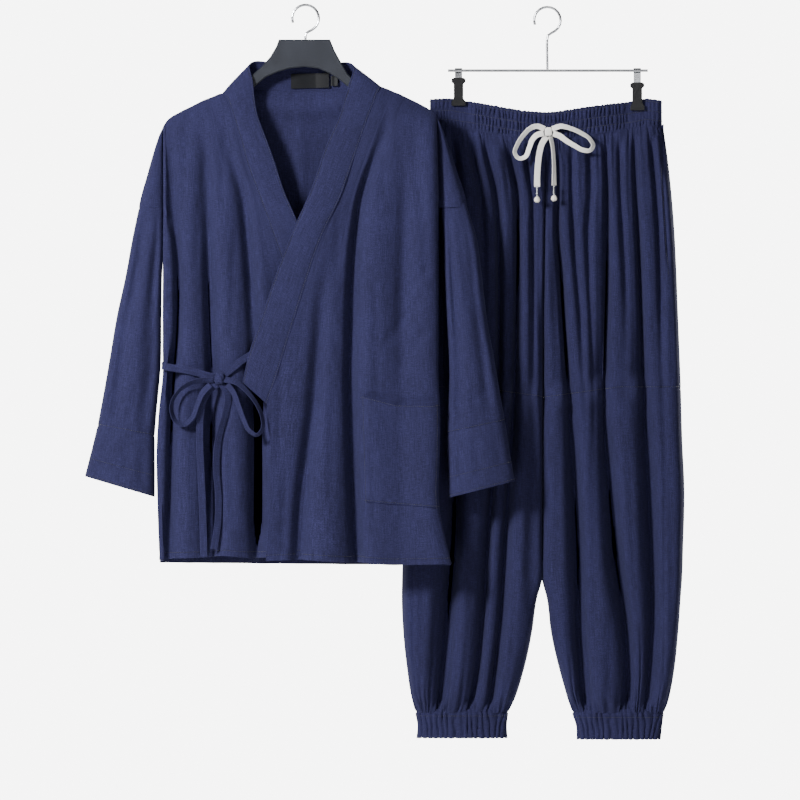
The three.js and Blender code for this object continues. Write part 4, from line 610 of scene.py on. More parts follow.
fronts = {}
for name, side, layer, folds, seam, heights, wing, hem, small in [
    ("over", 1, 0, over_folds, over_seam, right_heights, right_wing, over_hem, over_creases),
    ("under", -1, 1, under_folds, under_seam, left_heights, left_wing, under_hem, under_creases),
]:
    net, columns, rows = fine_net(front_panel(side, layer, folds, seam, heights, wing, hem), 3.0, 4.0,
                                  wings=[(0, 3)])
    keep = cloth_cells(net, columns, rows, False)
    if side < 0:
        net, keep = net[:, ::-1], keep[:, ::-1]
    net = fall_away(crumpled(net, 21 + layer), folds, -1, 0.5, 22, -9)
    net[..., 1] += creases(net[..., 0], net[..., 2], small)
    net = turn_hem(net, sway=3.2)
    net[..., 1] = np.minimum(net[..., 1], -seam_gap / 2)
    piece = sew_wall(f"jacket_{name}_front", net, keep=keep, stop=one_side(-1, -seam_gap / 2))
    dress(piece, jacket_cloth, "navy_cloth", f"jacket_front_{name}")
    body = slice(columns[3], None) if side > 0 else slice(None, -columns[3])
    stitch_line("jacket", net[:, body], up=hem_turn)
    fronts[name] = (net, columns)

# Sleeves and cuffs
# Each sleeve is one straight tube of the same cloth, sewn to the end of the drop shoulder and hanging in soft
# upright folds; its deep plain cuff is a second tube, seamed on and turned up inside.

# down the arm: outer x and z, inner x and z, half depth
sleeve_rings = {
    "sleeve_left": [(-250, -302, -213, -302, 12.5), (-259, -345, -213, -347, 19), (-270, -405, -215, -410, 23),
        (-283, -465, -216, -472, 25), (-294, -530, -217, -540, 26), (-305, -592, -223, -606, 26),
        (-312, -629, -226, -645, 26)],
    "sleeve_cuff_left": [(-312, -629, -226, -645, 26), (-321, -666, -226, -690, 26), (-331, -705, -226, -736, 25)],
    "sleeve_right": [(243, -302, 204, -302, 12.5), (256, -345, 207, -347, 19), (264, -400, 209, -404, 23),
        (272, -468, 212, -474, 25), (284, -535, 215, -543, 26), (293, -588, 214, -600, 26),
        (299, -622, 212, -641, 26)],
    "sleeve_cuff_right": [(299, -622, 212, -641, 26), (306, -667, 214, -689, 26), (314, -712, 215, -737, 25)]}
# soft troughs round the tube: angle, width, depth
sleeve_troughs = [(1.15, 0.28, 5), (2.1, 0.25, 6), (4.1, 0.3, 6), (5.2, 0.3, 5)]
# small creases: start x, z, end x, z, depth, half width; on the front and, turned about, on the back
sleeve_creases = {
    "sleeve_left": [(-236, -310, -262, -470, 2.4, 7), (-222, -330, -246, -560, 2.0, 6),
        (-268, -430, -286, -600, 1.6, 6), (-219, -430, -236, -640, 1.8, 6), (-292, -590, -240, -616, 1.4, 6),
        (-250, -560, -270, -636, 1.5, 5)],
    "sleeve_cuff_left": [(-262, -640, -272, -720, 1.6, 7), (-300, -650, -312, -705, 1.2, 7),
        (-240, -655, -246, -728, 1.2, 6)],
    "sleeve_right": [(228, -310, 246, -470, 2.4, 7), (214, -330, 232, -540, 2.0, 6), (258, -430, 272, -600, 1.6, 6),
        (216, -460, 228, -630, 1.8, 6), (286, -570, 236, -600, 1.4, 6), (244, -540, 258, -628, 1.5, 5)],
    "sleeve_cuff_right": [(252, -640, 262, -722, 1.6, 7), (284, -640, 296, -705, 1.2, 7),
        (228, -650, 234, -728, 1.2, 6)]}


def squared(angle, power):
    """A point round a flattened tube, squarer than an ellipse"""
    c, s = np.cos(angle), np.sin(angle)
    return np.sign(c) * np.abs(c) ** power, np.sign(s) * np.abs(s) ** power


def with_allowance(net, across, deep):
    """A tube with its seam allowance, drawn in and running up inside the piece above"""
    middle = net[:1].mean(axis=1, keepdims=True)
    allowance = middle + np.array([0, 0, seam_allowance]) + (net[:1] - middle) * np.array([across, deep, 1])
    return np.concatenate([allowance, net])


def press_ends(net, top=0.0, bottom=0.0, reach=2.6):
    """Pulls the cloth in along a seam at its first or last row"""
    v = cloth_lengths(net)[1]
    pull = top * bell(v / reach) + bottom * bell((v.max() - v) / reach)
    return net - face_out(net) * pull[..., None]


for name, rings in sleeve_rings.items():
    cuff = "cuff" in name
    angles = np.linspace(0, 2 * math.pi, 84, endpoint=False)
    across, deep = squared(angles, 0.82)
    rows = []
    for j, (out_x, out_z, in_x, in_z, half) in enumerate(rings):
        strength = 0.25 if cuff else min(1, j / 2) * (0.25 if j == len(rings) - 1 else 1)
        dip = strength * sum(d * bell((angles - a) / w) for a, w, d in sleeve_troughs)
        x = (out_x + in_x) / 2 + (out_x - in_x) / 2 * across
        z = blend(in_z, out_z, (across + 1) / 2) - (seam_gap if j == 0 else 0)
        rows.append(np.stack([x, -deep * (half - dip), z], 1))
    net = smooth_down(np.array(rows), 4)
    if rings[0][0] < 0:
        net = net[:, ::-1]
    net = crumpled(net, 31 + len(name), closed=True)
    facing = np.clip(-net[..., 1] / 8, -1, 1)
    net[..., 1] += creases(net[..., 0], net[..., 2], sleeve_creases[name]) * facing
    net = press_ends(net, 0.7, 0.0 if cuff else 0.7)
    if cuff:
        net = press_ends(net, 0, 0.35, 1.2)
    piece = sew_wall(name.replace("sleeve_cuff", "cuff") + "_tube", with_allowance(net, 0.9, 0.8),
                     wall=1.3 if cuff else cloth_wall, closed=True)
    dress(piece, jacket_cloth, "navy_cloth", name)
    for up in (3, 30) if cuff else (2.5,):
        stitch_line("jacket", ringed(net), up=up)

# Collar band
# One long straight band of the same cloth, folded double: it runs from the over front's edge up round the back
# of the neck and down to the under front's edge, and is stitched along both of its edges.
band_wall = 2.2
shares = np.array([0, 0.008, 0.02, 0.032, 0.042, 0.052, 0.066, 0.09, 0.15, 0.24, 0.34, 0.44])
shares = np.concatenate([shares, [0.5], 1 - shares[::-1]])
edge = np.minimum(shares, 1 - shares)
band_net = []
for in_x, in_z, out_x, out_z, in_y, out_y, layer in band_stations:
    x, z = blend(in_x, out_x, shares), blend(in_z, out_z, shares)
    if layer == 2:
        y = blend(in_y, out_y, shares)
    else:
        drop = float(read(shoulder_line, 1, np.clip(out_x, *neck_point))) - out_z
        flat_y = np.array([float(front_y(drop, layer, *at)) for at in zip(x, z)])
        y = np.minimum(flat_y, -10.4 if drop > 0 else 0) - 1.2 * np.sin(math.pi * shares)
    band_net.append(np.stack([x, y, z], 1))
band_net = smooth_down(np.array(band_net), 4)
v = cloth_lengths(band_net)[1]
pucker = 0.35 * uneven(v, shares * 3 + v * 0, 51, 14, 1) + 0.6 * uneven(v, shares + v * 0, 52, 46, 1)
swell = 0.5 * eased(edge / 0.012) - 0.55 * bell((edge - 0.05) / 0.012) + 0.25 * eased((edge - 0.06) / 0.2)
band_net = band_net + face_out(band_net) * (swell + pucker * eased(edge / 0.2))[..., None]
collar_band = sew_wall("collar_band_strip", band_net, wall=band_wall)
dress(collar_band, jacket_cloth, "navy_cloth", "collar_band")
for column in (5, -6):
    stitch_line("jacket", band_net, column=column, proud=0.3)

# Patch pocket
# One patch of the same cloth on the over front, from beside a fold to the side seam: hemmed along its open top,
# its other edges turned under and stitched down.
pocket_top = [(85, -585), (106, -590), (136, -598), (190, -599), (201, -597)]
pocket_bottom = [(85, -743), (198, -752)]
over_net, over_columns = fronts["over"]
pocket_height = -660
at_pocket = np.argmin(np.abs(over_net[..., 2].mean(axis=1) - pocket_height))
pocket_last = int(np.argmin(np.abs(over_net[at_pocket, :, 0] - 86)))
columns = []
for i in range(over_columns[4], pocket_last + 1):
    strip = over_net[:, i][::-1]
    x = float(np.interp(pocket_height, strip[:, 2], strip[:, 0]))
    heights = np.linspace(read(pocket_top, 1, x), read(pocket_bottom, 1, x), 44)
    columns.append(np.stack([np.interp(heights, strip[:, 2], strip[:, k]) for k in range(3)], 1))
pocket_net = np.stack(columns, 1)
u, v = cloth_lengths(pocket_net)
edges = np.minimum(np.minimum(u, u.max() - u), v.max() - v)
# it stands off the front, with a turned edge, a dip at its stitching, a loose mouth and a flat foot
pocket_inset = 2.4
rise = 2.1 + 0.8 * eased(edges / 1.6) - 0.45 * bell(edges - pocket_inset) + 0.35 * eased((edges - 4) / 20)
rise = rise + 0.35 * eased(1 - v / 22) + 2.4 * eased(1 - v / 18)
rise = rise - 0.5 * eased(1 - (v.max() - v) / 6) + 0.4 * uneven(u, v, 61, 22, 50)
pocket_net = pocket_net + np.array([0, -1, 0]) * rise[..., None]
pocket = sew_wall("patch_pocket_cloth", pocket_net)
dress(pocket, jacket_cloth, "navy_cloth", "patch_pocket")
stitch_line("jacket", pocket_net, up=pocket_inset)
stitch_line("jacket", pocket_net, up=float(v.max() - 1.2))
for inset in (pocket_inset, u.max() - pocket_inset):
    stitch_line("jacket", pocket_net, column=int(np.argmin(np.abs(u[0] - inset))))

# Neck labels
# A bare woven satin label and a small size tab beside it, both sewn to the inside of the band behind the neck.
def two_tones(tree, factor, deep, light):
    """The base colour of a surface, between two shades"""
    tone = add(tree, "ShaderNodeMix", [("Factor", factor)], data_type="RGBA", in_6=shade(deep), in_7=shade(light))
    return "Base Color", tone.outputs[2]


satin, tree = new_material("woven_satin_label_tape")
# polyester satin ribs are about 0.3 mm; drawn at 0.8 mm so that they show
rib = grain_noise(tree, add(tree, "ShaderNodeUVMap", uv_map="cut"), (160, 1250, 1))
surfaced(tree, [two_tones(tree, rib, "08090d", "101218")], rib, 0.3, 0.0003, in_Roughness=0.55,
         in_Specular_IOR_Level=0.2)

neck_stations = [s for s in band_stations if s[6] == 2]
# left, right, top, bottom, stand-off from the band
for name, left, right, top, bottom, stand_off in [("neck_label", -22, 35, -101, -123, 1.1),
                                                  ("neck_size_tab", 38, 48, -104, -119, 0.6)]:
    xs = np.linspace(left, right, max(8, int((right - left) / 1.5)))
    heights = np.linspace(top, bottom, 14)
    y = read([(s[0], (s[4] + s[5]) / 2) for s in neck_stations], 1, xs) - band_wall - stand_off
    net = np.zeros((len(heights), len(xs), 3))
    net[..., 0] = xs
    net[..., 1] = y - 0.25 * np.sin(np.linspace(0, math.pi, len(xs)) * 3)
    net[..., 2] = heights[:, None] + 0.03 * (xs - left)
    net = net[:, ::-1]
    label = sew_wall(name + "_tape", net, wall=0.6)
    dress(label, satin, "label_tape", name)

# Jacket ties
# Two narrow ties of the same cloth, sewn flat, one from the side seam and one from the band's edge, tied in a
# bow whose two loops and two tails hang over the under front.
tie_width = 11
tie_wall = 1.6
# x, y, z and turn out of the picture plane, in degrees
tie_paths = {
    "side_tie_run": [(-212, -10, -539, 0), (-214, -16.5, -539, 0), (-214.4, -21, -539.5, 0),
        (-208.5, -24.6, -541, 0), (-190, -25.4, -544, 0), (-165, -26.5, -549, 0), (-147, -27.5, -554, 0),
        (-135.5, -28.4, -557, 0)],
    "band_tie_run": [(-76, -25.4, -520, 0), (-86, -25.9, -526, 0), (-97, -28.6, -533, 0), (-108, -29.2, -542, 0),
        (-121.6, -28.9, -553, 0)],
    "tie_loop_left": [(-136.6, -33, -561, 35), (-155, -34.8, -561, 45), (-173, -35.3, -566, 55),
        (-190, -34.8, -578, 65), (-199, -33.8, -593, 65), (-199.5, -32.8, -610, 60), (-192, -32.3, -624, 55),
        (-180, -32.3, -627, 50), (-169, -32.8, -617, 50), (-161, -33.3, -597, 50), (-152, -35.3, -578, 40),
        (-142, -36.3, -568, 35)],
    "tie_loop_right": [(-120.7, -33.8, -560, 35), (-104, -36, -564, 45), (-88, -37.8, -577, 55),
        (-72, -38.5, -598, 60), (-64, -38.5, -618, 62), (-64, -38.5, -634, 62), (-72, -38, -643, 60),
        (-83, -37, -637, 55), (-93, -36.3, -618, 50), (-101, -35.8, -596, 45), (-109, -34.8, -577, 40),
        (-117, -34.3, -568, 35)],
    "tie_tail_left": [(-132.2, -28.5, -566.6, 0), (-143, -28.6, -575, 2), (-152, -28.3, -590, 8),
        (-157, -27.8, -615, 12), (-158, -27.3, -650, 8), (-156, -27.3, -700, 5), (-154, -27.3, -750, 3),
        (-152.5, -27.3, -795, 2), (-152, -27.3, -826, 0)],
    "tie_tail_right": [(-124.2, -30.6, -567, 20), (-116, -30.3, -585, 25), (-118, -29.8, -605, 30),
        (-125, -29.3, -630, 32), (-132, -28.8, -660, 30), (-133, -28.3, -695, 26), (-130, -28.3, -735, 22),
        (-131, -28.3, -775, 18), (-137, -28.3, -814, 15)]}


def ribbon_net(rows, width, thick, upright=False, pitch=2.5):
    """A flat strip along a path: the net of its section, rows down the path, and the path itself"""
    path = np.array(rows, float)[:, None]
    steps = np.maximum(1, np.round(np.linalg.norm(np.diff(path[:, 0, :3], axis=0), axis=1) / pitch)).astype(int)
    path = smooth_net(path, steps, 0)[:, 0]
    centre = path[:, :3]
    along = np.gradient(centre, axis=0)
    along /= np.linalg.norm(along, axis=1, keepdims=True)
    towards = np.array([0.0, 1.0, 0.0])
    flat = np.cross(along, towards)
    flat /= np.linalg.norm(flat, axis=1, keepdims=True) + 1e-9
    if upright:
        flat = np.tile([0.0, 0.0, 1.0], (len(centre), 1))
    turn = np.radians(path[:, 3:4])
    wide = flat * np.cos(turn) + towards * np.sin(turn)
    wide -= along * (wide * along).sum(axis=1, keepdims=True)
    wide /= np.linalg.norm(wide, axis=1, keepdims=True)
    deep = np.cross(along, wide)
    angles = np.linspace(0, 2 * math.pi, 20, endpoint=False)
    across, out = squared(angles, 0.45)
    # sewn edges stand a little thicker than the middle
    out = out * (0.5 - 0.13 * (1 - np.abs(across)) ** 0.5)
    net = centre[:, None] + wide[:, None] * (across * 0.5 * width)[None, :, None]
    net = net + deep[:, None] * (out * thick)[None, :, None]
    return net, centre


def tube_piece(name, net):
    """A closed solid on a ring net, with rounded ends"""
    rows, count = net.shape[:2]
    if np.cross(net[rows // 2, 1] - net[rows // 2, 0], net[rows // 2 + 1, 0] - net[rows // 2, 0]).dot(
            net[rows // 2, 0] - net[rows // 2].mean(axis=0)) < 0:
        net = net[:, ::-1]
    middles = net.mean(axis=1)
    caps = []
    for end, back in ((0, 1), (-1, -2)):
        out = (middles[end] - middles[back]) * 0.12
        caps.append(middles[end] + (net[end] - middles[end]) * 0.55 + out)
    net = np.concatenate([caps[0][None], net, caps[1][None]])
    points = np.concatenate([net.reshape(-1, 3), net[0].mean(axis=0)[None], net[-1].mean(axis=0)[None]]) / 1000
    number = np.arange(net.shape[0] * count).reshape(-1, count)
    ahead = np.roll(number, -1, axis=1)
    faces = np.stack([number[:-1], ahead[:-1], ahead[1:], number[1:]], -1).reshape(-1, 4).tolist()
    top, bottom = len(points) - 2, len(points) - 1
    faces += [(top, int(ahead[0, k]), int(number[0, k])) for k in range(count)]
    faces += [(bottom, int(number[-1, k]), int(ahead[-1, k])) for k in range(count)]
    u, v = cloth_lengths(ringed(net))
    width = count + 1
    rows_of = np.arange(net.shape[0] - 1)[:, None] * width + np.arange(count)[None]
    corners = np.stack([rows_of, rows_of + 1, rows_of + width + 1, rows_of + width], -1).reshape(-1)
    cut = np.stack([u.ravel(), v.ravel()], 1) / 1000
    ends = np.zeros((6 * count, 2))
    return sewn_piece(name, points.tolist(), faces, np.concatenate([cut[corners], ends]), 70)


def knot_ball(name, middle, size, wraps, square=0.85):
    """A closed ball of wound ribbon: size across, deep and high, and grooves as the cosine rows of a plane,
    its offset, width and depth"""
    rings, count = 26, 36
    polar = np.linspace(0.06, math.pi - 0.06, rings)[:, None]
    around = np.linspace(0, 2 * math.pi, count, endpoint=False)[None]
    ball = np.stack([np.sin(polar) * np.cos(around), np.sin(polar) * np.sin(around), np.cos(polar) + 0 * around], -1)
    ball = np.sign(ball) * np.abs(ball) ** square
    groove = np.zeros(ball.shape[:2])
    for a, b, c, offset, width, depth in wraps:
        groove += depth * bell((ball @ np.array([a, b, c]) - offset) / width)
    ball = ball * (1 - groove)[..., None]
    return tube_piece(name, np.array(middle) + ball * np.array(size) * 0.5)


def join(name, *pieces):
    """Makes one piece of several"""
    bpy.ops.object.select_all(action="DESELECT")
    for piece in pieces:
        piece.select_set(True)
    bpy.context.view_layer.objects.active = pieces[0]
    bpy.ops.object.join()
    pieces[0].name = pieces[0].data.name = name
    return pieces[0]


ties = {}
for name, rows in tie_paths.items():
    net, centre = ribbon_net(rows, tie_width, tie_wall, "run" in name)
    waver = 0.35 * uneven(cloth_lengths(net)[1], net[..., 0] * 0.05, 71, 17, 1)
    net = net + np.array([0, -1, 0]) * waver[..., None]
    ties[name] = (tube_piece(name + "_cloth", net), centre / 1000)
knot = knot_ball("tie_knot_wrap", (-128.5, -32, -558.5), (16, 12, 19),
                 [(0.85, 0.1, 0.52, -0.42, 0.12, 0.16), (0.85, 0.1, 0.52, 0.46, 0.12, 0.16),
                  (0.1, 0.9, 0.4, 0.75, 0.2, 0.06)])
tie_knot = dress(join("tie_knot_wrap", knot, ties["band_tie_run"][0]), jacket_cloth, "navy_cloth", "tie_knot",
                 "band_tie_run")
for name, far_end in [("side_tie_run", "knot"), ("tie_loop_left", "knot"), ("tie_loop_right", "knot"),
                      ("tie_tail_left", "bare"), ("tie_tail_right", "bare")]:
    piece, centre = ties[name]
    dress(piece, jacket_cloth, "navy_cloth", name)

# Jacket hanger
# One moulded plastic hanger with a slot under its neck and rounded arms, and a plated steel hook screwed into it.
def solid_noise(tree, scale, **settings):
    """Noise through a solid"""
    place = add(tree, "ShaderNodeTexCoord")
    return add(tree, "ShaderNodeTexNoise", [("Vector", place.outputs["Object"])], in_Scale=scale,
               **settings).outputs[0]


charcoal, tree = new_material("charcoal_moulded_polypropylene")
# fine spark-eroded mould grain: 0.4 mm, drawn at 0.9 mm so that it shows; and moulding flow of 36 mm
grain = solid_noise(tree, 1100.0, in_Detail=2.0)
flow = solid_noise(tree, 28.0, in_Detail=2.0)
surfaced(tree, [two_tones(tree, flow, "1c1f27", "262a34"), ("Roughness", ranged(tree, flow, 0.36, 0.5))],
         grain, 0.25, 0.0004, in_Specular_IOR_Level=0.5)

steel, tree = new_material("nickel_plated_steel_wire")
# drawing marks of the wire, about 0.7 mm, and dull handled patches of 12 mm
marks = solid_noise(tree, 1400.0)
dull = solid_noise(tree, 80.0, in_Detail=3.0)
surfaced(tree, [two_tones(tree, dull, "b9bcc2", "d3d5d9"), ("Roughness", ranged(tree, dull, 0.16, 0.34))],
         marks, 0.12, 0.0002, in_Metallic=1.0)


def finish(material, *nodes):
    """Gives the part's own solids their finish"""
    for node in nodes:
        slots = bpy.data.objects[node].data.materials
        slots.clear()
        slots.append(material)


finish(charcoal, "hanger_body")
finish(steel, "hanger_hook")

# Trouser legs
# Eight panels of a darker navy slub: front and back of each leg, cut across at the thigh. Their tops are gathered
# into the waistband and their hems into the ankle cuffs, so deep uneven folds run the whole way down.
trouser_cloth = slub_cloth("navy_slub_trouser_cotton", "171731", "1f1f3e", "2b2b52", 4.0)
trousers_plane = 64
leg_round = 18
waist_left, waist_right = 187, 537
centre_x = 361
crotch = (-400, -515)
waistband_height = 43
# across: x, z
waist_line = [
    (187, -137), (217, -136), (247, -141), (286, -148), (326, -155), (360, -157.5), (376, -156.5), (413, -151),
    (454, -145), (487, -141), (514, -136), (536, -139)]
clips = [(230, -147), (499.5, -154)]
# down: z, left leg's outer and inner side, right leg's inner and outer side
leg_lines = [
    (-135, 187, 361, 361, 537), (-178, 186, 361, 361, 538), (-202, 180, 361, 361, 542), (-256, 172, 360, 360, 549),
    (-351, 163, 359, 359, 557), (-486, 157, 358, 358, 562), (-561, 155, 358, 358, 565), (-670, 151, 357, 357, 568),
    (-726, 149, 357, 357, 571), (-852, 145, 354, 358, 568), (-877, 144, 350, 362, 566), (-924, 145, 344, 366, 563),
    (-979, 150, 334, 377, 558), (-1030, 157, 319, 391, 549), (-1048, 162, 311, 398, 543), (-1063, 167, 304, 403, 539)]
# down: z, half depth of front and back
leg_depths = [
    (-178, 24, 22), (-260, 27, 25), (-420, 29, 27), (-580, 31, 29), (-800, 32, 31), (-960, 32, 31), (-1030, 27, 27),
    (-1063, 20, 20)]
upper_rows = [-186, -222, -270, -330, -400, -460, -520, -580]
lower_rows = [-580, -650, -730, -810, -860, -890, -940, -995, -1035, -1062.5]
upper_heights = [-200, -260, -320, -380, -470, -590]
lower_heights = [-590, -660, -741, -831, -921, -1011, -1063]
# each fold: x down the heights, depth at the top, middle and foot, half width
front_folds = {
    (-1, "upper"): [([199, 199, 201, 203, 206, 208], [10, 15, 11], 9),
        ([222, 228, 233, 237, 238, 236], [10, 17, 22], 10), ([245, 261, 266, 268, 268, 268], [12, 8, 2], 9),
        ([268, 284, 290, 291, 291, 290], [12, 18, 22], 10), ([304, 318, 320, 320, 318, 313], [14, 22, 21], 10),
        ([330, 340, 341, 342, 342, 340], [10, 11, 4], 8)],
    (1, "upper"): [([378, 381, 378, 384, 389, 398], [12, 20, 24], 10),
        ([401, 401, 402, 406, 414, 421], [10, 11, 3], 8), ([427, 430, 425, 425, 429, 434], [12, 10, 3], 10),
        ([450, 454, 454, 454, 452, 448], [12, 21, 24], 10), ([472, 473, 476, 480, 482, 480], [11, 9, 2], 9),
        ([494, 496, 499, 502, 505, 510], [12, 20, 22], 10), ([520, 526, 530, 533, 535, 538], [10, 11, 6], 8)],
    (-1, "lower"): [([236, 228, 226, 222, 215, 207, 202], [18, 27, 17], 15),
        ([290, 285, 280, 273, 268, 258, 246], [18, 21, 17], 13),
        ([313, 309, 304, 299, 294, 283, 274], [17, 20, 14], 13)],
    (1, "lower"): [([398, 403, 407, 411, 412, 418, 424], [20, 25, 17], 15),
        ([448, 453, 460, 468, 482, 488, 484], [20, 25, 17], 15),
        ([510, 514, 518, 522, 524, 518, 512], [18, 21, 14], 14)]}
back_counts = {"upper": (5, [8, 12, 13], 12), "lower": (3, [13, 14, 10], 14)}
# small creases between the folds: start x, z, end x, z, depth, half width
leg_creases = {
    "upper": [(536, -240, 546, -404, 4.0, 2.4), (351, -230, 347, -640, 8, 9), (214, -190, 218, -300, 2.2, 5),
        (256, -190, 250, -330, 2.2, 5), (278, -190, 300, -360, 2.0, 5), (296, -190, 306, -300, 2.0, 4),
        (334, -195, 332, -330, 1.8, 5), (390, -195, 394, -330, 2.2, 5), (414, -190, 416, -310, 2.2, 5),
        (440, -190, 440, -340, 2.0, 5), (462, -190, 466, -320, 2.2, 5), (484, -190, 488, -330, 2.0, 5),
        (508, -190, 514, -320, 1.8, 5), (373, -380, 378, -620, 2.6, 7), (182, -300, 176, -540, 1.8, 6),
        (550, -420, 553, -600, 1.6, 5), (222, -440, 214, -600, 3.0, 8), (420, -380, 414, -600, 3.0, 9),
        (468, -420, 474, -600, 2.6, 9), (524, -440, 530, -600, 2.2, 7)],
    "lower": [(540, -560, 539, -1060, 2.2, 2.4), (160, -560, 162, -1060, 2.2, 2.4), (346, -540, 338, -940, 7, 9),
        (180, -600, 172, -1000, 2.2, 7), (206, -650, 190, -1040, 2.0, 6), (256, -600, 246, -960, 2.4, 7),
        (340, -620, 330, -900, 2.4, 6), (324, -700, 306, -1030, 1.6, 5), (230, -880, 222, -1055, 2.0, 6),
        (378, -620, 380, -900, 2.2, 6), (430, -600, 436, -1000, 2.4, 7), (484, -620, 500, -1000, 2.2, 6),
        (544, -600, 552, -960, 2.2, 7), (402, -900, 412, -1050, 2.0, 6), (456, -900, 462, -1055, 2.0, 6),
        (536, -880, 530, -1050, 1.8, 5), (262, -940, 258, -1055, 1.8, 5), (290, -960, 280, -1055, 1.8, 5)]}


def waist_half(x, drop):
    """Half the depth of the waist, pinched flat at the two clips"""
    (left, _), (right, _) = clips
    reach, pinched, full = 15, 3.4, 21
    ends = np.clip(np.minimum(x - waist_left, waist_right - x) / leg_round, 0, 1)
    between = np.clip((x - left - reach) / (right - left - 2 * reach), 0, 1)
    to_clip = np.minimum(abs(x - left), abs(x - right))
    outside = np.clip((to_clip - reach) / 40, 0, 1) * 0.3
    bulge = np.where((between > 0) & (between < 1), np.sin(math.pi * between) ** 0.7, outside)
    return blend(pinched + (full - pinched) * bulge, full, eased((drop - 18) / 60)) * np.sqrt(ends)


def thigh_seam(x):
    return -588 + 15 * np.minimum(1, np.abs(x - centre_x) / 110)


def leg_level(x, part, j):
    if part == "lower":
        return lower_rows[j] + (thigh_seam(x) - seam_gap + 580) * max(0, 1 - j / 2)
    hold = 1 - j / (len(upper_rows) - 1)
    waist_edge = read(waist_line, 1, x) - waistband_height - seam_gap
    return upper_rows[j] + (waist_edge + 186) * hold**2 + (thigh_seam(x) + 580) * (1 - hold) ** 2


def fold_rows(heights, xs, depths):
    """One fold down a leg: z, x and depth, which changes at the top, middle and foot"""
    return [(z, xs[m], float(np.interp(m / (len(heights) - 1) * 2, [0, 1, 2], depths)))
            for m, z in enumerate(heights)]


def leg_panel(side, face, part):
    heights, levels = (upper_heights, upper_rows) if part == "upper" else (lower_heights, lower_rows)
    inner, outer = (2, 1) if side < 0 else (3, 4)
    if face < 0:
        folds = front_folds[side, part]
    else:
        count, depths, half = back_counts[part]
        drift = [1, -6, 7, 4, -3, -8]
        folds = []
        for k in range(count):
            share = (k + 0.8) / (count + 0.6)
            xs = [blend(float(read(leg_lines, outer, z)), float(read(leg_lines, inner, z)), share)
                  + drift[k] + (m - 2) * (2, -1, 1)[k % 3] for m, z in enumerate(heights)]
            folds.append((xs, [d * (1, 0.45, 0.85, 0.6, 1.05)[k] for d in depths], half))
        if side > 0:
            folds.reverse()
    rows_of = [(half, fold_rows(heights, xs, depths)) for xs, depths, half in folds]
    net = []
    for j, height in enumerate(levels):
        inner_x = float(read(leg_lines, inner, height)) + side * seam_gap / 2
        if -865 < height < -500:
            # the thighs press together above the parting
            inner_x = float(read(leg_lines, 2, height) + read(leg_lines, 3, height)) / 2 - side * 0.4
        outer_x = float(read(leg_lines, outer, height))
        half = float(read(leg_depths, 1 if face < 0 else 2, height))
        closed = np.clip((crotch[0] - height) / (crotch[0] - crotch[1]), 0, 1)
        hollow = 0.45 * np.clip((-178 - height) / 90, 0, 1)
        middle = fold_columns(rows_of, height, min(inner_x, outer_x) + leg_round * 0.5,
                              max(inner_x, outer_x) - leg_round * 0.5)
        if side < 0:
            middle.reverse()
        across = [(inner_x, 0, blend(0.8, 0, max(closed, hollow))),
                  (inner_x + side * leg_round * 0.22, 0, blend(0.9, 0.62, closed)),
                  *[(x, dip, 1) for x, dip in middle], (outer_x - side * leg_round * 0.45, 0, 0.93),
                  (outer_x - side * leg_round * 0.1, 0, 0.55), (outer_x, 0, 0)]
        row = []
        for x, dip, share in across:
            drop = max(float(read(waist_line, 1, x)) - height, 0)
            freed = np.clip((drop - waistband_height) / 90, 0, 1)
            depth = min(blend(float(waist_half(x, drop)), half, freed), half) * share
            depth = max(depth - dip * min(drop / 60, 1), seam_gap / 2)
            row.append((x, trousers_plane + face * depth, float(leg_level(x, part, j))))
        net.append(row)
    return np.array(net)


# the gathered seam's row, and ruffles: pitch, height and how far they run
leg_gathers = {"upper": (0, [(7, 1.3, 16), (14, 1.7, 34), (27, 1.3, 80)]),
               "lower": (-1, [(7, 1.5, 18), (14, 2.4, 46), (29, 2.0, 120)])}


def gathered(net, seam_row, amounts, seed):
    """Ruffles that start at a gathered seam, the first or last row, and die away"""
    u, v = cloth_lengths(net)
    away = v if seam_row == 0 else v.max() - v
    ruffle = np.zeros_like(u)
    for k, (pitch, height, run) in enumerate(amounts):
        wander = 1.3 * uneven(u, v, seed + k, pitch * 3, run) + 0.35 * uneven(u, v, seed + 9 + k, pitch, run * 0.6)
        strength = 0.65 + 0.35 * uneven(u, v, seed + 5 + k, pitch * 2, run)
        ridge = 2 * np.abs(np.sin(math.pi * u / pitch + wander)) ** 0.85 - 1.1
        ruffle += height * strength * np.exp(-((away / run) ** 1.3)) * ridge
    edge = eased(np.minimum(u, u.max() - u) / 12)
    ruffle = blend(0.35 * ruffle - 0.6, ruffle, eased(away / 6))
    return net + face_out(net) * (ruffle * edge)[..., None]


def profile(row, xs):
    """Depth of one row of points at the given x"""
    order = np.argsort(row[:, 0])
    return np.interp(xs, row[order, 0], row[order, 1])


# pitch of each panel's net, across and down: finer in front
leg_pitches = {(-1, "upper"): (2.5, 3.8), (1, "upper"): (3.6, 5.4), (-1, "lower"): (3.0, 4.6),
               (1, "lower"): (4.0, 5.8)}
cuff_depth = 20

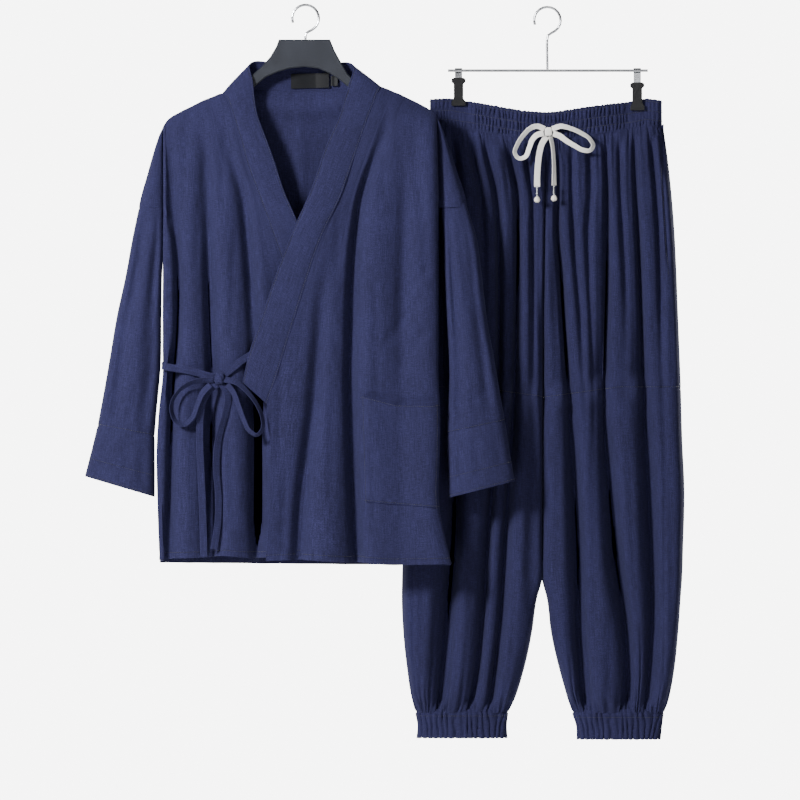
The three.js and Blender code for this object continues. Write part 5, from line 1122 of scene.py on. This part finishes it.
for side, side_name in ((-1, "left"), (1, "right")):
    for face, face_name in ((-1, "front"), (1, "back")):
        front = face < 0
        legs = {part: fine_net(leg_panel(side, face, part), *leg_pitches[face, part])[0]
                for part in ("upper", "lower")}
        seam_rows = legs["upper"][-1].copy(), legs["lower"][0].copy()
        for part, seam_row in (("upper", seam_rows[0]), ("lower", seam_rows[1])):
            net = legs[part]
            if side * face < 0:
                net = net[:, ::-1]
            v = cloth_lengths(net)[1]
            away = v.max() - v if part == "upper" else v
            # the two cuts share their folds along the seam
            shared = (profile(seam_rows[0], net[..., 0]) + profile(seam_rows[1], net[..., 0])) / 2
            net[..., 1] += (shared - profile(seam_row, net[..., 0])) * eased(1 - away / 130)
            seed = 80 + 10 * side + 3 * face + (1 if part == "lower" else 0)
            folds = front_folds[side, part] if front else []
            heights = upper_heights if part == "upper" else lower_heights
            rows_of = [(half, fold_rows(heights, xs, depths)) for xs, depths, half in folds]
            moved = fall_away(crumpled(net, seed * 7), rows_of, face, 0.6, 13, -7)
            if part == "upper":
                # at the waist seam the folds run out into gathers
                drop = np.maximum(read(waist_line, 1, moved[..., 0]) - moved[..., 2], 0)
                seam_depth = trousers_plane + face * np.maximum(waist_half(moved[..., 0], drop), seam_gap / 2)
                moved[..., 1] = blend(moved[..., 1], seam_depth, eased(1 - v / 34))
            else:
                # at the ankle the cloth runs into the cuff's ring
                centre = (net[-1, 0, 0] + net[-1, -1, 0]) / 2
                width = abs(net[-1, 0, 0] - net[-1, -1, 0]) / 2
                share = np.clip(abs(moved[..., 0] - centre) / width, 0, 1)
                ring_depth = trousers_plane + face * np.maximum(cuff_depth * (1 - share**4) ** 0.5, seam_gap / 2)
                moved[..., 1] = blend(moved[..., 1], ring_depth, 0.85 * eased(1 - (v.max() - v) / 26))
            turned = centre_x * 2 - net[..., 0] if face > 0 else net[..., 0]
            moved[..., 1] -= face * creases(turned, net[..., 2], leg_creases[part])
            moved = gathered(moved, *leg_gathers[part], seed)
            net = blend(net, moved, eased(away / 30)[..., None])
            net = press_ends(net, 0.5, 0.5)
            hold = one_side(face, trousers_plane + face * seam_gap / 2)
            net[..., 1] = hold(net[..., 1])
            name = f"leg_{part}_{face_name}_{side_name}"
            whole = tuck(net, seam_allowance, 2.2)
            if part == "upper" and side < 0:
                # the centre seam's allowance runs behind the other leg
                inner = 0 if front else -1
                across = whole[:, inner:inner + 1 or None] + np.array([4, -face * 2.5, 0])
                whole = np.concatenate([across, whole] if inner == 0 else [whole, across], 1)
            piece = sew_wall(name + "_cloth", whole, stop=hold)
            dress(piece, trouser_cloth, "navy_trouser_cloth", name)
            if part == "upper":
                stitch_line("trousers", net, up=2.2)
            if name == "leg_upper_front_right":
                pocket_side = net

# Waistband and ankle cuffs
# Casings of the same cloth over wide elastic, gathered by rows of stitching into narrow upright ruffles: a front
# and a back strip round the waist, and a closed ring at each ankle.
def casing_wave(u, drop, height, rows, seed, pitch, size):
    """Ruffles of an elastic casing, drawn in along its rows of stitching"""
    drawn = sum((bell((drop - row) / 2.2) for row in rows), 0 * drop)
    free = 1 - 0.55 * np.clip(drawn, 0, 1)
    channel = sum((eased((drop - row + 1) / 2) for row in rows), 0 * drop)
    wander = 1.5 * uneven(u, channel * 40 + drop * 0.5, seed, pitch * 2.2, height * 0.7)
    wander += 0.6 * uneven(u, drop, seed + 1, pitch, height * 0.4)
    strength = 0.75 + 0.4 * uneven(u, drop, seed + 2, pitch * 1.5, height * 0.5)
    wave = 2 * np.abs(np.sin(math.pi * u / pitch + wander)) ** 0.8 - 1.1
    return size * free * strength * wave - 1.1 * np.clip(drawn, 0, 1)


waist_rows = [2.5, 17, 31]
ruffle_pitch, ruffle_height = 5.8, 2.1
for face, name in ((-1, "waistband_front"), (1, "waistband_back")):
    xs = np.linspace(waist_left, waist_right, 350)
    drops = np.linspace(0, waistband_height, 25)
    x, drop = np.meshgrid(xs, drops)
    along = (x - waist_left) / (waist_right - waist_left)
    sag = 1.5 * np.sin(math.pi * along) * np.maximum(0, 1 - drop / 36) if face > 0 else 0
    to_clip = np.minimum(abs(x - clips[0][0]), abs(x - clips[1][0]))
    still = np.clip((to_clip - 11) / 6, 0.3, 1)
    held = blend(still, 1, np.clip((drop - 18) / 25, 0, 1))
    depth = waist_half(x, drop)
    wave = casing_wave(x, drop, waistband_height, waist_rows, 201 + face, ruffle_pitch, ruffle_height) * held
    wave = wave * eased((waistband_height - drop) / 7)
    wave += 1.0 * uneven(x, drop, 210 + face, 30, 40) * held
    ends = np.clip(np.minimum(x - waist_left, waist_right - x) / 6, 0, 1)
    wave -= 0.9 * eased(1 - (waistband_height - drop) / 4)
    depth = np.maximum(depth + wave * np.minimum(1, depth / 8), np.minimum(2.2, depth)) * ends
    y = trousers_plane + face * np.maximum(depth, seam_gap / 2)
    lip = 0.35 * wave * eased(1 - drop / 8)
    net = np.stack([x + 0.5 * uneven(x, drop, 220, 12, 18), y, read(waist_line, 1, x) - drop - sag + lip], -1)
    if face < 0:
        net = net[:, ::-1]
    piece = sew_wall(name + "_casing", net, wall=1.2, stop=one_side(face, trousers_plane + face * seam_gap / 2))
    dress(piece, trouser_cloth, "navy_trouser_cloth", name)
    for row in waist_rows:
        stitch_line("trousers", net, up=waistband_height - row)

ankle_top = -1063.3
ankle_height = 37
# outer x, inner x, z, half depth
ankle_rings = {
    "left": [(166, 305, ankle_top, 20), (169, 303, -1081, 18), (168, 304, -1100, 20)],
    "right": [(539.5, 402.5, ankle_top, 20), (537, 408, -1082, 18), (535, 409, -1102, 20)]}
for side_name, rings in ankle_rings.items():
    angles = np.linspace(0, 2 * math.pi, 300, endpoint=False)
    across, deep = squared(angles, 0.85)[0], squared(angles, 0.7)[1]
    rows = [np.stack([(out_x + in_x) / 2 + abs(out_x - in_x) / 2 * across, trousers_plane - half * deep,
                      0 * angles + z], 1) for out_x, in_x, z, half in rings]
    net = smooth_net(np.array(rows), [9, 9], 0)
    u, v = (lengths[:, :-1] for lengths in cloth_lengths(ringed(net)))
    around = u.max() + u[0, 1]
    # a whole number of ruffles, about 8.6 mm each
    pitch = around / round(around / 8.6)
    ruffle = casing_wave(u, v, ankle_height, [], 240, pitch, 1.9) * eased(u / 14) * eased((around - u) / 14)
    net = net + face_out(net, True) * ruffle[..., None]
    net[..., 2] -= 0.5 * ruffle * eased((v - 20) / 17)
    piece = sew_wall(f"ankle_cuff_{side_name}_casing", with_allowance(net, 0.94, 0.85), wall=1.2, closed=True)
    dress(piece, trouser_cloth, "navy_trouser_cloth", f"ankle_cuff_{side_name}")
    stitch_line("trousers", ringed(net), up=ankle_height - 3)

# Drawstring
# A flat braided cotton cord out of the front of the waistband, tied in a bow; each tail ends in a steel tube
# crimped on, with a round end bead below it.
cotton, tree = new_material("cream_braided_cotton")
cut = add(tree, "ShaderNodeUVMap", uv_map="cut")
# braid plaits are 1 mm; two slanting waves cross to make them
waves = []
for slant in (35, -35):
    way = add(tree, "ShaderNodeMapping", [("Vector", cut.outputs[0])], in_Rotation=(0, 0, math.radians(slant)))
    wave = add(tree, "ShaderNodeTexWave", [("Vector", way.outputs[0])], in_Scale=310.0, in_Distortion=0.6)
    waves.append(wave.outputs["Fac"])
plait = add(tree, "ShaderNodeMath", list(enumerate(waves)), operation="MAXIMUM")
fibre = add(tree, "ShaderNodeTexNoise", [("Vector", cut.outputs[0])], in_Scale=2600.0, in_Detail=2.0)
height = mixed(tree, plait.outputs[0], fibre.outputs[0], 0.3)
# the cord's colour follows the plaits' height: painted shade in the grooves between plaits, white on their crowns,
# with the fibres' own speckle
surfaced(tree, [two_tones(tree, height, "ebe5d8", "ffffff")], height, 0.6, 0.0006, in_Roughness=0.85,
         in_Sheen_Weight=0.2, in_Specular_IOR_Level=0.3)

cord_width = 9
cord_wall = 1.5
bow_y = trousers_plane - 28
# x, y from the middle of the bow, z and turn out of the picture plane, in degrees
drawstring_paths = {
    "drawstring_loop_left": [(359.2, -1, -183, 20), (349, -3, -179, 30), (338, -3.5, -182, 40),
        (327, -3.5, -193, 45), (318, -3.5, -207, 50), (314.5, -3, -219, 50), (320, -2.5, -227, 50),
        (330, -2, -225, 45), (336, -2, -212, 40), (341, -2, -199, 30), (349, -2, -191.5, 20),
        (357.8, -1, -189.5, 15)],
    "drawstring_loop_right": [(370.8, -1, -183, 20), (383, -3, -179, 30), (398, -3.5, -182, 40),
        (414, -3.5, -189, 45), (428, -3.5, -199, 50), (432.5, -3, -208, 50), (428, -2.5, -215, 50),
        (418, -2, -215, 45), (404, -2, -208, 40), (391, -2, -200, 30), (381, -2, -193, 20), (372.3, -1, -190, 15)],
    "drawstring_tail_left": [(361.8, 0.6, -194.4, 0), (355, -1, -206, 5), (351, -2.5, -222, 8), (349, -4, -240, 8),
        (348, -5, -256, 5), (348, -5, -270, 0)],
    "drawstring_tail_right": [(368.2, 0.5, -194.6, 45), (371.5, -1, -210, 55), (373, -3, -228, 55),
        (373.5, -4.5, -246, 50), (373.5, -5, -258, 45), (373.5, -5, -268, 40)]}
bow = knot_ball("drawstring_knot_wrap", (365, bow_y + 0.7, -187), (11, 7, 13.5),
                [(0.95, 0, 0.3, -0.35, 0.14, 0.1), (0.95, 0, 0.3, 0.4, 0.14, 0.08)], square=0.5)
dress(bow, cotton, "cream_cord", "drawstring_knot")
finish(steel, "drawstring_tip_left", "drawstring_tip_right")
finish(cotton, "drawstring_bead_left", "drawstring_bead_right")
for name, rows in drawstring_paths.items():
    rows = [(x, bow_y + y, z, turn) for x, y, z, turn in rows]
    net, centre = ribbon_net(rows, cord_width, cord_wall, pitch=1.6)
    piece = dress(tube_piece(name + "_cord", net), cotton, "cream_cord", name)
    side_name = name.rsplit("_", 1)[1]

# Clip hanger
# Two black spring clips hold the waistband; plated wire loops hang them from a steel bar with its own hook.
black, tree = new_material("black_moulded_nylon")
# mould grain of 0.8 mm, and patches of 11 mm
grain = solid_noise(tree, 1300.0, in_Detail=2.0)
surfaced(tree, [two_tones(tree, solid_noise(tree, 90.0), "08080b", "101014")], grain, 0.3, 0.0003, in_Roughness=0.38)
finish(black, "waist_clip_left", "waist_clip_right")
finish(steel, "clip_loop_left", "clip_loop_right", "clip_hanger_bar", "clip_hanger_hook")

# Stitching
# Navy polyester thread, a little darker than the cloth, sewn by machine at about 3 mm a stitch along the hems,
# band, pocket, seams and elastic casings. Each stitch is a short rounded bar half sunk in the cloth.

# down the slanting edge of the side pocket, on the front of the viewer's right leg
pocket_points = []
for x, z in zip(np.linspace(535, 545, 44), np.linspace(-248, -404, 44)):
    j = int(np.argmin(np.abs(pocket_side[:, :, 2].mean(axis=1) - z)))
    i = int(np.argmin(np.abs(pocket_side[j, :, 0] - x) + (pocket_side[j, :, 1] > trousers_plane - 2) * 50))
    pocket_points.append(pocket_side[j, i] + np.array([0, -0.4, 0]))
pocket_points = np.array(pocket_points)
for _ in range(3):
    pocket_points[1:-1] = (pocket_points[:-2] + pocket_points[1:-1] * 2 + pocket_points[2:]) / 4
stitch_runs["trousers"].append(pocket_points)


def thread(name, deep, light):
    material, tree = new_material(name)
    # the thread's twist is 0.4 mm
    surfaced(tree, [two_tones(tree, solid_noise(tree, 2500.0), deep, light)], in_Roughness=0.6, in_Sheen_Weight=0.2)
    return material


def sew(name, runs, material):
    """Stitches along runs of points, made by Geometry Nodes and turned to a plain mesh"""
    points, edges = [], []
    for run in runs:
        edges += [(len(points) + k, len(points) + k + 1) for k in range(len(run) - 1)]
        points += (run / 1000).tolist()
    guide_mesh = bpy.data.meshes.new(name + "_guide")
    guide_mesh.from_pydata(points, edges, [])
    guide = new_object(name + "_guide", guide_mesh)
    tree = bpy.data.node_groups.new("machine_stitches", "GeometryNodeTree")
    for way in ("INPUT", "OUTPUT"):
        tree.interface.new_socket("Geometry", in_out=way, socket_type="NodeSocketGeometry")
    step, stitch_length, thread_radius = 0.0031, 0.0022, 0.00026
    given = add(tree, "NodeGroupInput")
    curve = add(tree, "GeometryNodeMeshToCurve", [("Mesh", given.outputs["Geometry"])])
    stepped = add(tree, "GeometryNodeResampleCurve", [("Curve", curve.outputs[0])], mode="LENGTH", in_Length=step)
    along = add(tree, "GeometryNodeInputTangent")
    turned = add(tree, "FunctionNodeAlignRotationToVector", [("Vector", along.outputs[0])], axis="Z")
    bar = add(tree, "GeometryNodeMeshCylinder", fill_type="TRIANGLE_FAN", in_Vertices=6, in_Radius=thread_radius,
              in_Depth=stitch_length)
    # each stitch is between 0.85 and 1.1 of its size
    uneven_size = add(tree, "FunctionNodeRandomValue", data_type="FLOAT", in_2=0.85, in_3=1.1, in_Seed=7)
    placed = add(tree, "GeometryNodeInstanceOnPoints",
                 [("Points", stepped.outputs[0]), ("Instance", bar.outputs["Mesh"]), ("Rotation", turned.outputs[0]),
                  ("Scale", uneven_size.outputs[1])])
    real = add(tree, "GeometryNodeRealizeInstances", [("Geometry", placed.outputs[0])])
    coloured = add(tree, "GeometryNodeSetMaterial", [("Geometry", real.outputs[0])])
    coloured.inputs["Material"].default_value = material
    add(tree, "NodeGroupOutput", [("Geometry", coloured.outputs[0])])
    modifier = guide.modifiers.new("stitches", "NODES")
    modifier.node_group = tree
    sewn = bpy.data.meshes.new_from_object(guide.evaluated_get(bpy.context.evaluated_depsgraph_get()))
    guide.modifiers.clear()
    bpy.data.objects.remove(guide)
    sewn.name = name
    sewn.shade_smooth()
    piece = new_object(name, sewn)
    if not sewn.materials:
        sewn.materials.append(material)
    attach(piece, "root")


sew("jacket_stitches", stitch_runs["jacket"], thread("navy_polyester_thread", "101124", "191b33"))
sew("trouser_stitches", stitch_runs["trousers"], thread("navy_trouser_thread", "0e0f20", "16182e"))
